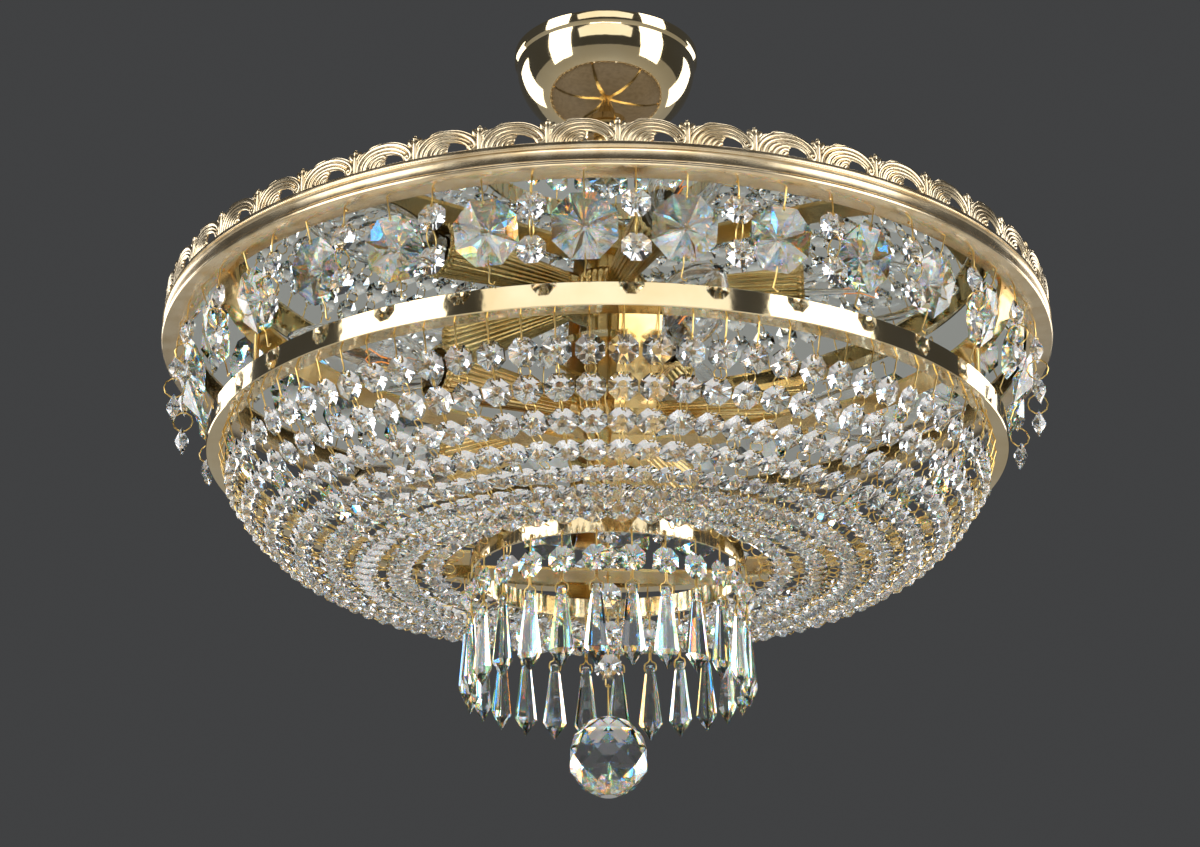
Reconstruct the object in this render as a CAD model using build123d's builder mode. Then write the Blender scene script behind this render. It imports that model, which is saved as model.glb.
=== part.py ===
# Crystal basket ceiling light: a brass ring frame under a mirror disc, dressed with strung crystals.
# Millimetres, +Z up, the ceiling is the plane z = 0, and the front of the light faces -Y.

import os
from math import acos, atan2, cos, degrees, hypot, pi, radians, sin, sqrt

from build123d import *

os.makedirs("parts", exist_ok=True)

# Levels, measured down from the ceiling
ring_drop = 193.0  # lower edge of the top ring
mid_drop = 252.0  # lower edge of the middle ring
small_drop = 313.0  # lower edge of the small ring
lamp_drop = 221.0  # axis of the five lamps
arm_drop = 245.0  # underside of the frame arms where they run level

# Top ring, a band with a hook flange below and a ledge for the mirror above
top_ring_radius = 240.0
band_height = 10.5
band_wall = 1.5
lip_proud = 1.2
lip_height = 3.0
flange_width = 14.0
flange_thick = 1.5
ledge_width = 3.0
ledge_thick = 1.5
mirror_thick = 3.0
mirror_gap = 0.5
mirror_hole_radius = 8.0

# Stamped gallery that stands on the band
gallery_motifs = 46
gallery_height = 14.7
gallery_arch_height = 12.4
gallery_plate = 0.8
gallery_foot_height = 2.6
gallery_foot_wall = 1.6
gallery_inset = 1.7
bud_stalk_width = 2.2
bud_radius = 2.6
arch_gap = 0.4
gallery_turn = 1.3  # where the first bud stands, degrees from the front

# Middle and small rings
mid_ring_radius = 213.5
mid_height = 12.0
mid_wall = 1.5
mid_flange_width = 10.0
mid_hole_inset = 7.0
small_ring_radius = 72.5
small_height = 10.5
small_wall = 1.5

# Centre stack on one threaded rod
rod_radius = 5.0
rod_gap = 0.2
stem_radius = 7.0
column_radius = 11.0
dish_radius = 30.0
dish_height = 4.0
dish_wall = 1.2
hub_radius = 25.0
hub_height = 26.0
hub_neck_radius = 13.0
boss_radius = 7.5
boss_reach = 28.0
clamp_radius = 16.0
clamp_thick = 2.0
spoke_count = 5
spoke_width = 10.0
spoke_turn = -20.0
nut_flats = 16.0
nut_height = 6.0
lock_nut_height = 3.5
column_end = 259.0  # lower end of the column, where the finial cup starts
finial_cup_radius = 13.0
finial_cup_height = 8.0
finial_nub_radius = 5.0
finial_height = 12.0

# Frame arms that carry the top ring from the column
arm_count = 3
arm_turn = -56.6
arm_width = 20.0
arm_thick = 2.0
arm_level_reach = 120.0
arm_ring_inset = 12.0  # outer face of an arm's end, in from the top ring's outside
hanger_radius = 1.5

# Ceiling bracket and canopy
bracket_length = 92.0
bracket_width = 20.0
bracket_thick = 2.5
bracket_pad = 18.0
bracket_depth = 14.5
bracket_floor = 36.0
screw_spacing = 74.0
screw_hole_radius = 2.5
block_length = 24.0
block_width = 15.0
block_height = 12.0
block_corner = 1.5
block_port_radius = 1.6
canopy_radius = 52.0
canopy_wall = 1.0
canopy_lip = 6.0
canopy_waist = 1.5
canopy_height = 46.0
canopy_floor_radius = 10.0
collar_radius = 12.0
collar_height = 8.0
collar_edge = 0.8
slide_gap = 0.3
grub_radius = 1.5

# Lamps: sleeve, holder and candle bulb, lying along a radius
lamp_count = 5
lamp_turn = 16.0
sleeve_small_radius = 7.0
sleeve_mouth_radius = 14.5
sleeve_wall = 1.0
sleeve_length = 80.0
sleeve_rim = 1.0
holder_radius = 9.0
holder_bore = 7.2
holder_start = 70.0
holder_end = 104.0
holder_floor = 4.0
nipple_radius = 4.5
cap_radius = 6.95
cap_length = 22.0
cap_flange = 2.0
bulb_neck_radius = 8.0
bulb_radius = 17.5
bulb_widest = 38.0
bulb_length = 86.0
bulb_tip_radius = 1.6
glass_wall = 0.8
stem_glass_radius = 2.2
stem_glass_length = 30.0
filament_radius = 0.5
filament_reach = 12.0
filament_height = 11.0

# Crystals
octagon_width = 14.0
octagon_thick = 7.0
octagon_table = 2.0
large_width = 31.0
large_thick = 11.0
large_table = 5.0
wire = 1.0
wire_gap = 0.3

# Skirt between the top and middle rings
skirt_large = 30
skirt_turn = -2.6
skirt_hook_inset = 8.5
skirt_large_start = 9.2  # from the flange down to a large octagon's upper edge
pair_first_drop = 8.5
pair_pitch = 22.5

# Basket strings, whose path in a radial plane is one smooth bow
string_count = 80
string_turn = 2.25
string_pitch = 17.6
string_first = 17.7
bow_radius = 180.5
bow_drop = 327.0
string_end_gap = 4.1
string_end_drop = 309.3
crystal_gap = 0.7
tie_apart = 0.9  # how far from a crystal's middle each of two joined strings is tied

# Ribs that shape the basket, and the bar across the small ring
rib_count = 4
rib_turn = 4.5
rib_width = 20.0
rib_thick = 1.5
rib_top_gap = 0.3
rib_bow_radius = 168.0
rib_bow_drop = 306.0
rib_end_rise = 9.0
bar_thick = 1.5
bar_notch_width = 3.0
bar_notch_depth = 4.0
bar_hole_radius = 2.5

# Fringe of drops on the small ring
strand_count = 26
strand_turn = 2.55
strand_hole_rise = 1.6
strand_hole_radius = 1.1
strand_gap = 0.6
strand_tail = 1.0
strand_octagon_drop = 320.0
strand_bow = 7.0
drop_width = 12.3
drop_thick = 8.0
drop_shoulder = 5.6
drop_length = 38.0
drop_point = 9.0
drop_tip = 0.8
neck_width = 5.0
neck_depth = 4.0
neck_height = 4.0
bow_gap = 0.3

# Centre chain and ball
chain_drops = (287.0, 304.0, 323.5)
swing_drops = (344.4, 362.4)
eye_drop = 3.5
loop_inside = 5.0
ball_radius = 21.4
ball_drop = 410.4
ball_sides = 10
ball_rows = 7

# Values worked out from the sizes above
band_radius = top_ring_radius - lip_proud
band_inside = band_radius - band_wall
ring_top = -ring_drop + band_height
mirror_seat = ring_top - mirror_thick
flange_radius = top_ring_radius - flange_width
hook_radius = top_ring_radius - skirt_hook_inset
mid_inside = mid_ring_radius - mid_wall
mid_flange_radius = mid_ring_radius - mid_flange_width
mid_top = -mid_drop + mid_height
string_radius = mid_ring_radius - mid_hole_inset
small_inside = small_ring_radius - small_wall
first_strand = strand_turn - 180 / strand_count
hole_level = -small_drop + strand_hole_rise
bore = rod_radius + rod_gap
dish_base = mirror_seat - dish_height
hub_top = -lamp_drop + hub_height / 2 + 1
hub_base = hub_top - hub_height
arm_end_radius = top_ring_radius - arm_ring_inset
arm_depth = arm_drop - ring_drop


def write(part, name):
    """Label a finished piece and write its STEP file."""
    part.label = name
    export_step(part, "parts/" + name + ".step")


def around(azimuth, radius, height):
    """Place at an azimuth from the front, with local X pointing away from the axis."""
    turn = azimuth - 90
    x = radius * cos(radians(turn))
    y = radius * sin(radians(turn))
    return Location((x, y, height), (0, 0, turn))


def copies(shape, places):
    """Separate copies of one solid, one at each place."""
    return Compound(children=[shape.moved(place) for place in places])


def together(*groups):
    """One group made of several groups of solids."""
    return Compound(children=[solid for group in groups for solid in group.solids()])


def at(azimuth, radius, height):
    """A point as X, Y and Z."""
    return Vector(radius * sin(radians(azimuth)), -radius * cos(radians(azimuth)), height)


def wires(start, end, azimuths, shift=0.0, thick=wire):
    """Square wires from one (radius, height) to another, ending a shift in degrees round the axis."""
    ends = [(at(a, *start), at(a + shift, *end)) for a in azimuths]
    length = (ends[0][1] - ends[0][0]).length
    places = [Plane(origin=(low + high) / 2, z_dir=high - low).location for low, high in ends]
    return copies(Box(thick, thick, length), places)


# Ceiling bracket: a hat-shaped strap, screwed up through its two end pads
with BuildPart() as ceiling_bracket:
    with BuildSketch(Plane.XZ):
        with BuildLine():
            half = bracket_length / 2
            pad_end = half - bracket_pad
            floor_end = bracket_floor / 2
            under = -bracket_depth
            Polyline(
                (half, 0),
                (pad_end, 0),
                (floor_end, under + bracket_thick),
                (-floor_end, under + bracket_thick),
                (-pad_end, 0),
                (-half, 0),
                (-half, -bracket_thick),
                (-pad_end - bracket_thick / 2, -bracket_thick),
                (-floor_end - bracket_thick / 2, under),
                (floor_end + bracket_thick / 2, under),
                (pad_end + bracket_thick / 2, -bracket_thick),
                (half, -bracket_thick),
                close=True,
            )
        make_face()
    extrude(amount=bracket_width / 2, both=True)
    with Locations((screw_spacing / 2, 0, 0), (-screw_spacing / 2, 0, 0)):
        Hole(screw_hole_radius, depth=2 * bracket_thick)
    with Locations((0, 0, 0)):
        Hole(bore, depth=2 * bracket_depth)
write(ceiling_bracket.part, "ceiling_bracket")

# Threaded rod, the one piece that carries everything
rod_top = -bracket_depth + bracket_thick + nut_height + 1
rod_base = -column_end - finial_cup_height / 2
with BuildPart() as stem_rod:
    with BuildSketch(Plane.XY.offset(rod_base)):
        Circle(rod_radius)
    extrude(amount=rod_top - rod_base)
write(stem_rod.part, "stem_rod")

# Polished tube over the rod, from the bracket's lock nut to the mirror clamp
stem_top = -bracket_depth - lock_nut_height
clamp_top = ring_top + clamp_thick
with BuildPart() as stem_tube:
    with BuildSketch(Plane.XY.offset(clamp_top)):
        Circle(stem_radius)
        Circle(bore, mode=Mode.SUBTRACT)
    extrude(amount=stem_top - clamp_top)
write(stem_tube.part, "stem_tube")


def nut(height, base):
    """A hexagon nut on the rod."""
    with BuildPart() as made:
        with BuildSketch(Plane.XY.offset(base)):
            RegularPolygon(nut_flats / 2, 6, major_radius=False)
            Circle(bore, mode=Mode.SUBTRACT)
        extrude(amount=height)
    return made.part


upper_nut = nut(nut_height, -bracket_depth + bracket_thick)
lower_nut = nut(lock_nut_height, stem_top)
write(together(upper_nut, lower_nut), "stem_nuts")

# Terminal block on the bracket's side
with BuildPart() as terminal_block:
    with BuildSketch(Plane.XY.offset(-bracket_depth)):
        with Locations((0, bracket_width / 2 + block_width / 2)):
            Rectangle(block_length, block_width)
    extrude(amount=block_height)
    block_sides = terminal_block.edges().filter_by(Axis.Z)
    fillet(block_sides, block_corner)
    block_ports = [(0, bracket_width / 2 + block_width * share) for share in (0.3, 0.7)]
    with Locations(*[(x, y, 0) for x, y in block_ports]):
        Hole(block_port_radius, depth=2 * bracket_depth)
write(terminal_block.part, "terminal_block")


def canopy_side(shrink):
    """Half outline of the cup: a straight lip, a small step in and a quarter ellipse."""
    outer = canopy_radius - shrink
    waist = canopy_radius - canopy_waist - shrink
    floor = -canopy_height + shrink
    Line((0, 0), (outer, 0))
    Line((outer, 0), (outer, -canopy_lip))
    Line((outer, -canopy_lip), (waist, -canopy_lip - canopy_waist))
    rise = -canopy_lip - canopy_waist - floor
    centre = (canopy_floor_radius, floor + rise)
    EllipticalCenterArc(centre, waist - canopy_floor_radius, rise, 270, arc_size=90)
    Line((canopy_floor_radius, floor), (0, floor))
    Line((0, floor), (0, 0))


# Canopy: a deep spun cup with its open end at the ceiling
with BuildPart() as canopy:
    with BuildSketch(Plane.XZ):
        with BuildLine():
            canopy_side(0)
        make_face()
    revolve(axis=Axis.Z)
    with BuildSketch(Plane.XZ):
        with BuildLine():
            canopy_side(canopy_wall)
        make_face()
    revolve(axis=Axis.Z, mode=Mode.SUBTRACT)
    with Locations((0, 0, -canopy_height)):
        Hole(stem_radius + slide_gap, depth=2 * canopy_height)
write(canopy.part, "canopy")

# Collar under the canopy, with the grub screw that grips the tube
with BuildPart() as collar:
    with BuildSketch(Plane.XY.offset(-canopy_height - collar_height)):
        Circle(collar_radius)
        Circle(stem_radius + slide_gap, mode=Mode.SUBTRACT)
    extrude(amount=collar_height)
    collar_rims = collar.edges().filter_by(GeomType.CIRCLE).sort_by(SortBy.RADIUS)[-2:]
    chamfer(collar_rims, collar_edge)
    with BuildSketch(Plane.XZ):
        with Locations((0, -canopy_height - collar_height / 2)):
            Circle(grub_radius)
    extrude(amount=-2 * collar_radius, mode=Mode.SUBTRACT)
with BuildPart() as grub_screw:
    with BuildSketch(Plane.XZ.offset(-stem_radius - slide_gap)):
        with Locations((0, -canopy_height - collar_height / 2)):
            Circle(grub_radius)
    extrude(amount=-(collar_radius - stem_radius - slide_gap) - 1)
write(together(collar.part, grub_screw.part), "canopy_collar")

# Top ring: lip, band, mirror ledge and hook flange as one turned section
with BuildPart() as top_ring:
    with BuildSketch(Plane.XZ.offset(0)):
        with BuildLine():
            low = -ring_drop
            seat_base = mirror_seat - ledge_thick
            Polyline(
                (flange_radius, low),
                (top_ring_radius - lip_proud / 2, low),
                (top_ring_radius, low + lip_proud / 2),
                (top_ring_radius, low + lip_height),
                (band_radius, low + lip_height + lip_proud / 2),
                (band_radius, ring_top - 2 * lip_proud),
                (top_ring_radius - lip_proud / 2, ring_top - 1.5 * lip_proud),
                (top_ring_radius - lip_proud / 2, ring_top),
                (band_inside, ring_top),
                (band_inside, mirror_seat),
                (band_inside - ledge_width, mirror_seat),
                (band_inside - ledge_width, seat_base),
                (band_inside, seat_base),
                (band_inside, low + flange_thick),
                (flange_radius, low + flange_thick),
                close=True,
            )
        make_face()
    revolve(axis=Axis.Z)
write(top_ring.part, "top_ring")

# Mirror disc, silvered on its back, laid on the ledge
with BuildPart() as mirror_disc:
    with BuildSketch(Plane.XY.offset(mirror_seat)):
        Circle(band_inside - mirror_gap)
        Circle(mirror_hole_radius, mode=Mode.SUBTRACT)
    extrude(amount=mirror_thick)
write(mirror_disc.part, "mirror_disc")

# Mirror clamp: a hub disc with five flat spokes over the mirror's back
spoke_end = band_inside - mirror_gap
with BuildPart() as mirror_clamp:
    with BuildSketch(Plane.XY.offset(ring_top)):
        Circle(clamp_radius)
        with PolarLocations(spoke_end / 2, spoke_count, start_angle=spoke_turn - 90):
            Rectangle(spoke_end - spoke_width / 4, spoke_width)
        Circle(bore, mode=Mode.SUBTRACT)
    extrude(amount=clamp_thick)
write(mirror_clamp.part, "mirror_clamp")

# Gallery: a foot strip and one openwork acanthus arch and bud for each pitch
gallery_radius = top_ring_radius - gallery_inset
gallery_pitch = 2 * pi * gallery_radius / gallery_motifs
with BuildPart() as motif:
    with BuildSketch(Plane.YZ.offset(gallery_radius - gallery_plate / 2)):
        reach = gallery_pitch / 2 - arch_gap
        with Locations((0, ring_top + 1)):
            Ellipse(reach, gallery_arch_height - 1)
        with Locations((gallery_pitch / 2, ring_top + gallery_height / 2)):
            Rectangle(bud_stalk_width, gallery_height)
        with Locations((gallery_pitch / 2, ring_top + gallery_height - bud_radius)):
            RegularPolygon(bud_radius, 6)
        with Locations((-0.14 * gallery_pitch, ring_top + 0.42 * gallery_arch_height)):
            Ellipse(0.075 * gallery_pitch, 0.3 * gallery_arch_height, mode=Mode.SUBTRACT)
        with Locations((0.17 * gallery_pitch, ring_top + 0.36 * gallery_arch_height)):
            Circle(0.2 * gallery_arch_height, mode=Mode.SUBTRACT)
        with Locations((0, ring_top - gallery_arch_height)):
            Rectangle(2 * gallery_pitch, 2 * gallery_arch_height, mode=Mode.SUBTRACT)
    extrude(amount=gallery_plate)
with BuildPart() as gallery:
    with BuildSketch(Plane.XY.offset(ring_top)):
        Circle(gallery_radius + gallery_foot_wall / 2)
        Circle(gallery_radius - gallery_foot_wall / 2, mode=Mode.SUBTRACT)
    extrude(amount=gallery_foot_height)
    first_motif = gallery_turn - 90 - 180 / gallery_motifs
    with PolarLocations(0, gallery_motifs, start_angle=first_motif):
        add(motif.part)
write(gallery.part, "gallery")

# Middle ring: a polished band with an inner flange that the strings hang from
with BuildPart() as middle_ring:
    with BuildSketch(Plane.XZ):
        with BuildLine():
            Polyline(
                (mid_flange_radius, -mid_drop),
                (mid_ring_radius, -mid_drop),
                (mid_ring_radius, mid_top),
                (mid_inside, mid_top),
                (mid_inside, -mid_drop + flange_thick),
                (mid_flange_radius, -mid_drop + flange_thick),
                close=True,
            )
        make_face()
    revolve(axis=Axis.Z)
write(middle_ring.part, "middle_ring")

# Small ring: a short band with one hole for each fringe strand
wall_middle = small_ring_radius - small_wall / 2
with BuildPart() as small_ring:
    with BuildSketch(Plane.XY.offset(-small_drop)):
        Circle(small_ring_radius)
        Circle(small_inside, mode=Mode.SUBTRACT)
    extrude(amount=small_height)
    with PolarLocations(wall_middle, strand_count, start_angle=first_strand - 90):
        with Locations(Location((0, 0, hole_level), (0, 90, 0))):
            Cylinder(strand_hole_radius, 3 * small_wall, mode=Mode.SUBTRACT)
write(small_ring.part, "small_ring")

# Dish under the mirror
with BuildPart() as mirror_dish:
    with BuildSketch(Plane.XZ):
        with BuildLine():
            Polyline(
                (bore, mirror_seat),
                (dish_radius, mirror_seat),
                (dish_radius, mirror_seat - dish_height / 2),
                (dish_radius - dish_wall, mirror_seat - dish_height / 2),
                (dish_radius - 3 * dish_wall, mirror_seat - dish_wall),
                (column_radius + 2, mirror_seat - dish_wall),
                (column_radius + 2, dish_base),
                (bore, dish_base),
                close=True,
            )
        make_face()
    revolve(axis=Axis.Z)
write(mirror_dish.part, "mirror_dish")


def spacer(top, base):
    """A turned brass tube on the rod."""
    with BuildPart() as made:
        with BuildSketch(Plane.XY.offset(base)):
            Circle(column_radius)
            Circle(bore, mode=Mode.SUBTRACT)
        extrude(amount=top - base)
    return made.part


arm_top = -arm_drop + arm_thick
above_hub = spacer(dish_base, hub_top)
above_arms = spacer(hub_base, arm_top)
below_arms = spacer(-arm_drop, -column_end)
write(together(above_hub, above_arms, below_arms), "column_spacers")

# Lamp hub: a turned bell with five bosses
lamp_angle = lamp_turn - 90
with BuildPart() as lamp_hub:
    with BuildSketch(Plane.XZ):
        with BuildLine():
            Polyline(
                (0, hub_top),
                (hub_neck_radius, hub_top),
                (hub_radius, -lamp_drop + hub_height / 6),
                (hub_radius, -lamp_drop - hub_height / 6),
                (hub_neck_radius, hub_base),
                (0, hub_base),
                close=True,
            )
        make_face()
    revolve(axis=Axis.Z)
    with PolarLocations(0, lamp_count, start_angle=lamp_angle):
        with Locations(Location((boss_reach / 2, 0, -lamp_drop), (0, 90, 0))):
            Cylinder(boss_radius, boss_reach)
    with Locations((0, 0, hub_top)):
        Hole(bore, depth=2 * hub_height)
write(lamp_hub.part, "lamp_hub")

# Frame arms: a clamp disc and three straps that sweep up to the top ring
with BuildPart() as arm:
    with BuildSketch(Plane.XZ):
        with BuildLine():
            sweep_out = arm_end_radius - arm_level_reach
            Line((clamp_radius / 2, -arm_drop), (arm_level_reach, -arm_drop))
            centre = (arm_level_reach, -ring_drop)
            EllipticalCenterArc(centre, sweep_out, arm_depth, 270, arc_size=90)
            Line((arm_end_radius, -ring_drop), (arm_end_radius - arm_thick, -ring_drop))
            inner_size = (sweep_out - arm_thick, arm_depth - arm_thick)
            EllipticalCenterArc(centre, *inner_size, 270, arc_size=90)
            Line((arm_level_reach, arm_top), (clamp_radius / 2, arm_top))
            Line((clamp_radius / 2, arm_top), (clamp_radius / 2, -arm_drop))
        make_face()
    extrude(amount=arm_width / 2, both=True)
with BuildPart() as frame_arms:
    with BuildSketch(Plane.XY.offset(-arm_drop)):
        Circle(clamp_radius)
    extrude(amount=arm_thick)
    with PolarLocations(0, arm_count, start_angle=arm_turn - 90):
        add(arm.part)
    with Locations((0, 0, arm_top)):
        Hole(bore, depth=2 * arm_thick)
write(frame_arms.part, "frame_arms")


def arm_underside(radius):
    """Height of an arm's lower face at a distance from the axis, where it sweeps up."""
    share = (radius - arm_level_reach) / (arm_end_radius - arm_level_reach)
    return -ring_drop - arm_depth * sqrt(1 - share * share)


# Hangers: three pins that carry the middle ring's flange under the arms
hanger_place = mid_inside - hanger_radius - 1
hanger_top = arm_underside(hanger_place - hanger_radius) - wire_gap / 3
hanger_base = -mid_drop + flange_thick
with BuildPart() as hanger:
    with BuildSketch(Plane.XY):
        Circle(hanger_radius)
    extrude(amount=hanger_top - hanger_base)
arm_azimuths = [arm_turn + k * 360 / arm_count for k in range(arm_count)]
write(copies(hanger.part, [around(a, hanger_place, hanger_base) for a in arm_azimuths]), "ring_hangers")

# Finial: the cup and nub that close the column, with an eye for the chain
finial_base = -column_end - finial_height
with BuildPart() as finial:
    with BuildSketch(Plane.XZ):
        with BuildLine():
            cup_base = -column_end - finial_cup_height
            Polyline(
                (0, -column_end),
                (finial_cup_radius, -column_end),
                (finial_cup_radius, -column_end - 2),
                (finial_nub_radius, cup_base),
                (finial_nub_radius, finial_base + 1),
                (finial_nub_radius - 1, finial_base),
                (0, finial_base),
                close=True,
            )
        make_face()
    revolve(axis=Axis.Z)
    with Locations((0, 0, -column_end)):
        Hole(bore, depth=finial_cup_height / 2 + rod_gap)
write(finial.part, "finial")

# Lamp sleeve: a thin cone with a rolled rim
with BuildPart() as sleeve:
    mouth = boss_reach + sleeve_length
    with BuildSketch(Plane.XZ):
        with BuildLine():
            Polyline(
                (boss_reach, sleeve_small_radius),
                (mouth - sleeve_rim, sleeve_mouth_radius),
                (mouth - sleeve_rim, sleeve_mouth_radius + sleeve_rim),
                (mouth, sleeve_mouth_radius + sleeve_rim),
                (mouth, sleeve_mouth_radius - sleeve_wall),
                (boss_reach, sleeve_small_radius - sleeve_wall),
                close=True,
            )
        make_face()
    revolve(axis=Axis.X)
lamp_places = [around(lamp_turn + k * 360 / lamp_count, 0, -lamp_drop) for k in range(lamp_count)]
write(copies(sleeve.part, lamp_places), "lamp_sleeves")

# Lampholder on its nipple, which screws to the hub's boss
with BuildPart() as lampholder:
    with BuildSketch(Plane.XZ):
        with BuildLine():
            Polyline(
                (boss_reach, 0),
                (boss_reach, nipple_radius),
                (holder_start, nipple_radius),
                (holder_start, holder_radius),
                (holder_end, holder_radius),
                (holder_end, holder_bore),
                (holder_start + holder_floor, holder_bore),
                (holder_start + holder_floor, 0),
                close=True,
            )
        make_face()
    revolve(axis=Axis.X)
write(copies(lampholder.part, lamp_places), "lampholders")

# Bulb cap: the screw shell, with the collar that the glass stands on
glass_start = mouth - sleeve_rim
cap_start = glass_start - cap_length - cap_flange
with BuildPart() as bulb_cap:
    with BuildSketch(Plane.XZ):
        with BuildLine():
            Polyline(
                (cap_start - 2, 0),
                (cap_start - 2, cap_radius / 2),
                (cap_start, cap_radius),
                (glass_start - cap_flange, cap_radius),
                (glass_start - cap_flange, bulb_neck_radius),
                (glass_start, bulb_neck_radius),
                (glass_start, 0),
                close=True,
            )
        make_face()
    revolve(axis=Axis.X)
write(copies(bulb_cap.part, lamp_places), "bulb_caps")


def bulb_side(shrink):
    """Half outline of the candle glass: two arcs that meet at its widest point."""
    widest = (glass_start + bulb_widest, bulb_radius - shrink)
    tip = (glass_start + bulb_length - shrink, bulb_tip_radius - shrink)
    neck = (glass_start, bulb_neck_radius - shrink)
    TangentArc(widest, neck, tangent=(-1, 0))
    TangentArc(widest, tip, tangent=(1, 0))
    Line(tip, (tip[0], 0))
    Line((tip[0], 0), (glass_start, 0))
    Line((glass_start, 0), neck)


with BuildPart() as bulb_glass:
    with BuildSketch(Plane.XZ):
        with BuildLine():
            bulb_side(0)
        make_face()
    revolve(axis=Axis.X)
    with BuildSketch(Plane.XZ):
        with BuildLine():
            bulb_side(glass_wall)
        make_face()
    revolve(axis=Axis.X, mode=Mode.SUBTRACT)
write(copies(bulb_glass.part, lamp_places), "bulb_glasses")

# Filament: a glass stem with a hairpin of wire
with BuildPart() as filament:
    with BuildSketch(Plane.YZ.offset(glass_start)):
        Circle(stem_glass_radius)
    extrude(amount=stem_glass_length)
    lead_start = glass_start + stem_glass_length
    with BuildSketch(Plane.YZ.offset(lead_start)):
        with Locations((0, stem_glass_radius / 2), (0, -stem_glass_radius / 2)):
            Rectangle(2 * filament_radius, 2 * filament_radius)
    extrude(amount=filament_reach)
    lead_end = lead_start + filament_reach
    with Locations((lead_end - filament_radius, 0, 0)):
        Box(2 * filament_radius, 2 * filament_radius, filament_height)
write(copies(filament.part, lamp_places), "bulb_filaments")


def crystal(width, thick, table):
    """A cut octagon: a knife-edged eight-sided rim with a small table on each face."""
    with BuildPart() as made:
        for level, size in ((-thick / 2, table), (0, width), (thick / 2, table)):
            with BuildSketch(Plane.YZ.offset(level)):
                RegularPolygon(size / 2, 8, major_radius=False, rotation=22.5)
        loft(ruled=True)
    return made.part


small_octagon = crystal(octagon_width, octagon_thick, octagon_table)
large_octagon = crystal(large_width, large_thick, large_table)

# Skirt: large octagons, each drawn taut between the two rings
slope_out = hook_radius - mid_ring_radius
slope_down = -ring_drop - mid_top
slope_length = hypot(slope_out, slope_down)
skirt_lean = degrees(atan2(slope_out, slope_down))


def on_slope(distance):
    """Radius and height at a distance down the line from the flange to the middle ring."""
    share = distance / slope_length
    return hook_radius - slope_out * share, -ring_drop - slope_down * share


large_azimuths = [skirt_turn + k * 360 / skirt_large for k in range(skirt_large)]
pair_azimuths = [a + 180 / skirt_large for a in large_azimuths]
large_middle = on_slope(skirt_large_start + large_width / 2)
large_places = [around(a, *large_middle) * Rotation(0, skirt_lean, 0) for a in large_azimuths]
write(copies(large_octagon, large_places), "skirt_octagons")

# Skirt: pairs of small octagons that hang free between the large ones
upper_pair = -ring_drop - pair_first_drop - octagon_width / 2
lower_pair = upper_pair - pair_pitch
pair_places = [around(a, hook_radius, h) for a in pair_azimuths for h in (upper_pair, lower_pair)]
write(copies(small_octagon, pair_places), "skirt_pairs")

# Skirt wires: hooks in the flange, ties to the middle ring, and the links of the pairs
large_bottom = skirt_large_start + large_width
half_octagon = octagon_width / 2
pair_hook = ((hook_radius, -ring_drop), (hook_radius, upper_pair + half_octagon))
pair_link = ((hook_radius, upper_pair - half_octagon), (hook_radius, lower_pair + half_octagon))
skirt_wires = together(
    wires(on_slope(wire_gap), on_slope(skirt_large_start), large_azimuths),
    wires(on_slope(large_bottom), on_slope(slope_length - 2 * wire_gap), large_azimuths),
    wires(*pair_hook, pair_azimuths),
    wires(*pair_link, pair_azimuths),
)
write(skirt_wires, "skirt_wires")

# Path of a basket string, a quadratic curve from the middle ring to the small ring
string_ends = ((string_radius, -mid_drop), (small_ring_radius + string_end_gap, -string_end_drop))
bow_point = (bow_radius, -bow_drop)
path_steps = 400


def bow(share, start, turn, end):
    """Point at a share of a quadratic curve drawn from start to end towards turn."""
    rest = 1 - share
    weights = (rest * rest, 2 * rest * share, share * share)
    return tuple(
        weights[0] * start[k] + weights[1] * turn[k] + weights[2] * end[k] for k in (0, 1)
    )


string_path = [bow(k / path_steps, string_ends[0], bow_point, string_ends[1]) for k in range(path_steps + 1)]
string_marks = [0.0]
for before, after in zip(string_path, string_path[1:]):
    string_marks.append(string_marks[-1] + hypot(after[0] - before[0], after[1] - before[1]))
string_length = string_marks[-1]


def along_string(distance):
    """Radius, height and lean of a basket string at a distance from the middle ring."""
    step = next((k for k, mark in enumerate(string_marks) if mark > distance), path_steps) - 1
    near, far = string_path[step], string_path[step + 1]
    share = (distance - string_marks[step]) / (string_marks[step + 1] - string_marks[step])
    radius = near[0] + share * (far[0] - near[0])
    height = near[1] + share * (far[1] - near[1])
    lean = degrees(atan2(near[0] - far[0], near[1] - far[1]))
    return radius, height, lean


# An octagon's cross-section is a diamond with its two blunt corners cut off by the tables
flat = 1 / octagon_width
deep = (1 - octagon_table / octagon_width) / octagon_thick
tightest = 1 / hypot(flat, deep)


def quarter_turn(spacing):
    """How far octagons a spacing apart are turned on their strings so that they pass, in degrees."""
    needed = 1 / (spacing - crystal_gap)
    if needed <= flat:
        return 0.0
    return degrees(atan2(deep, flat) - acos(needed / hypot(flat, deep)))


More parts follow.
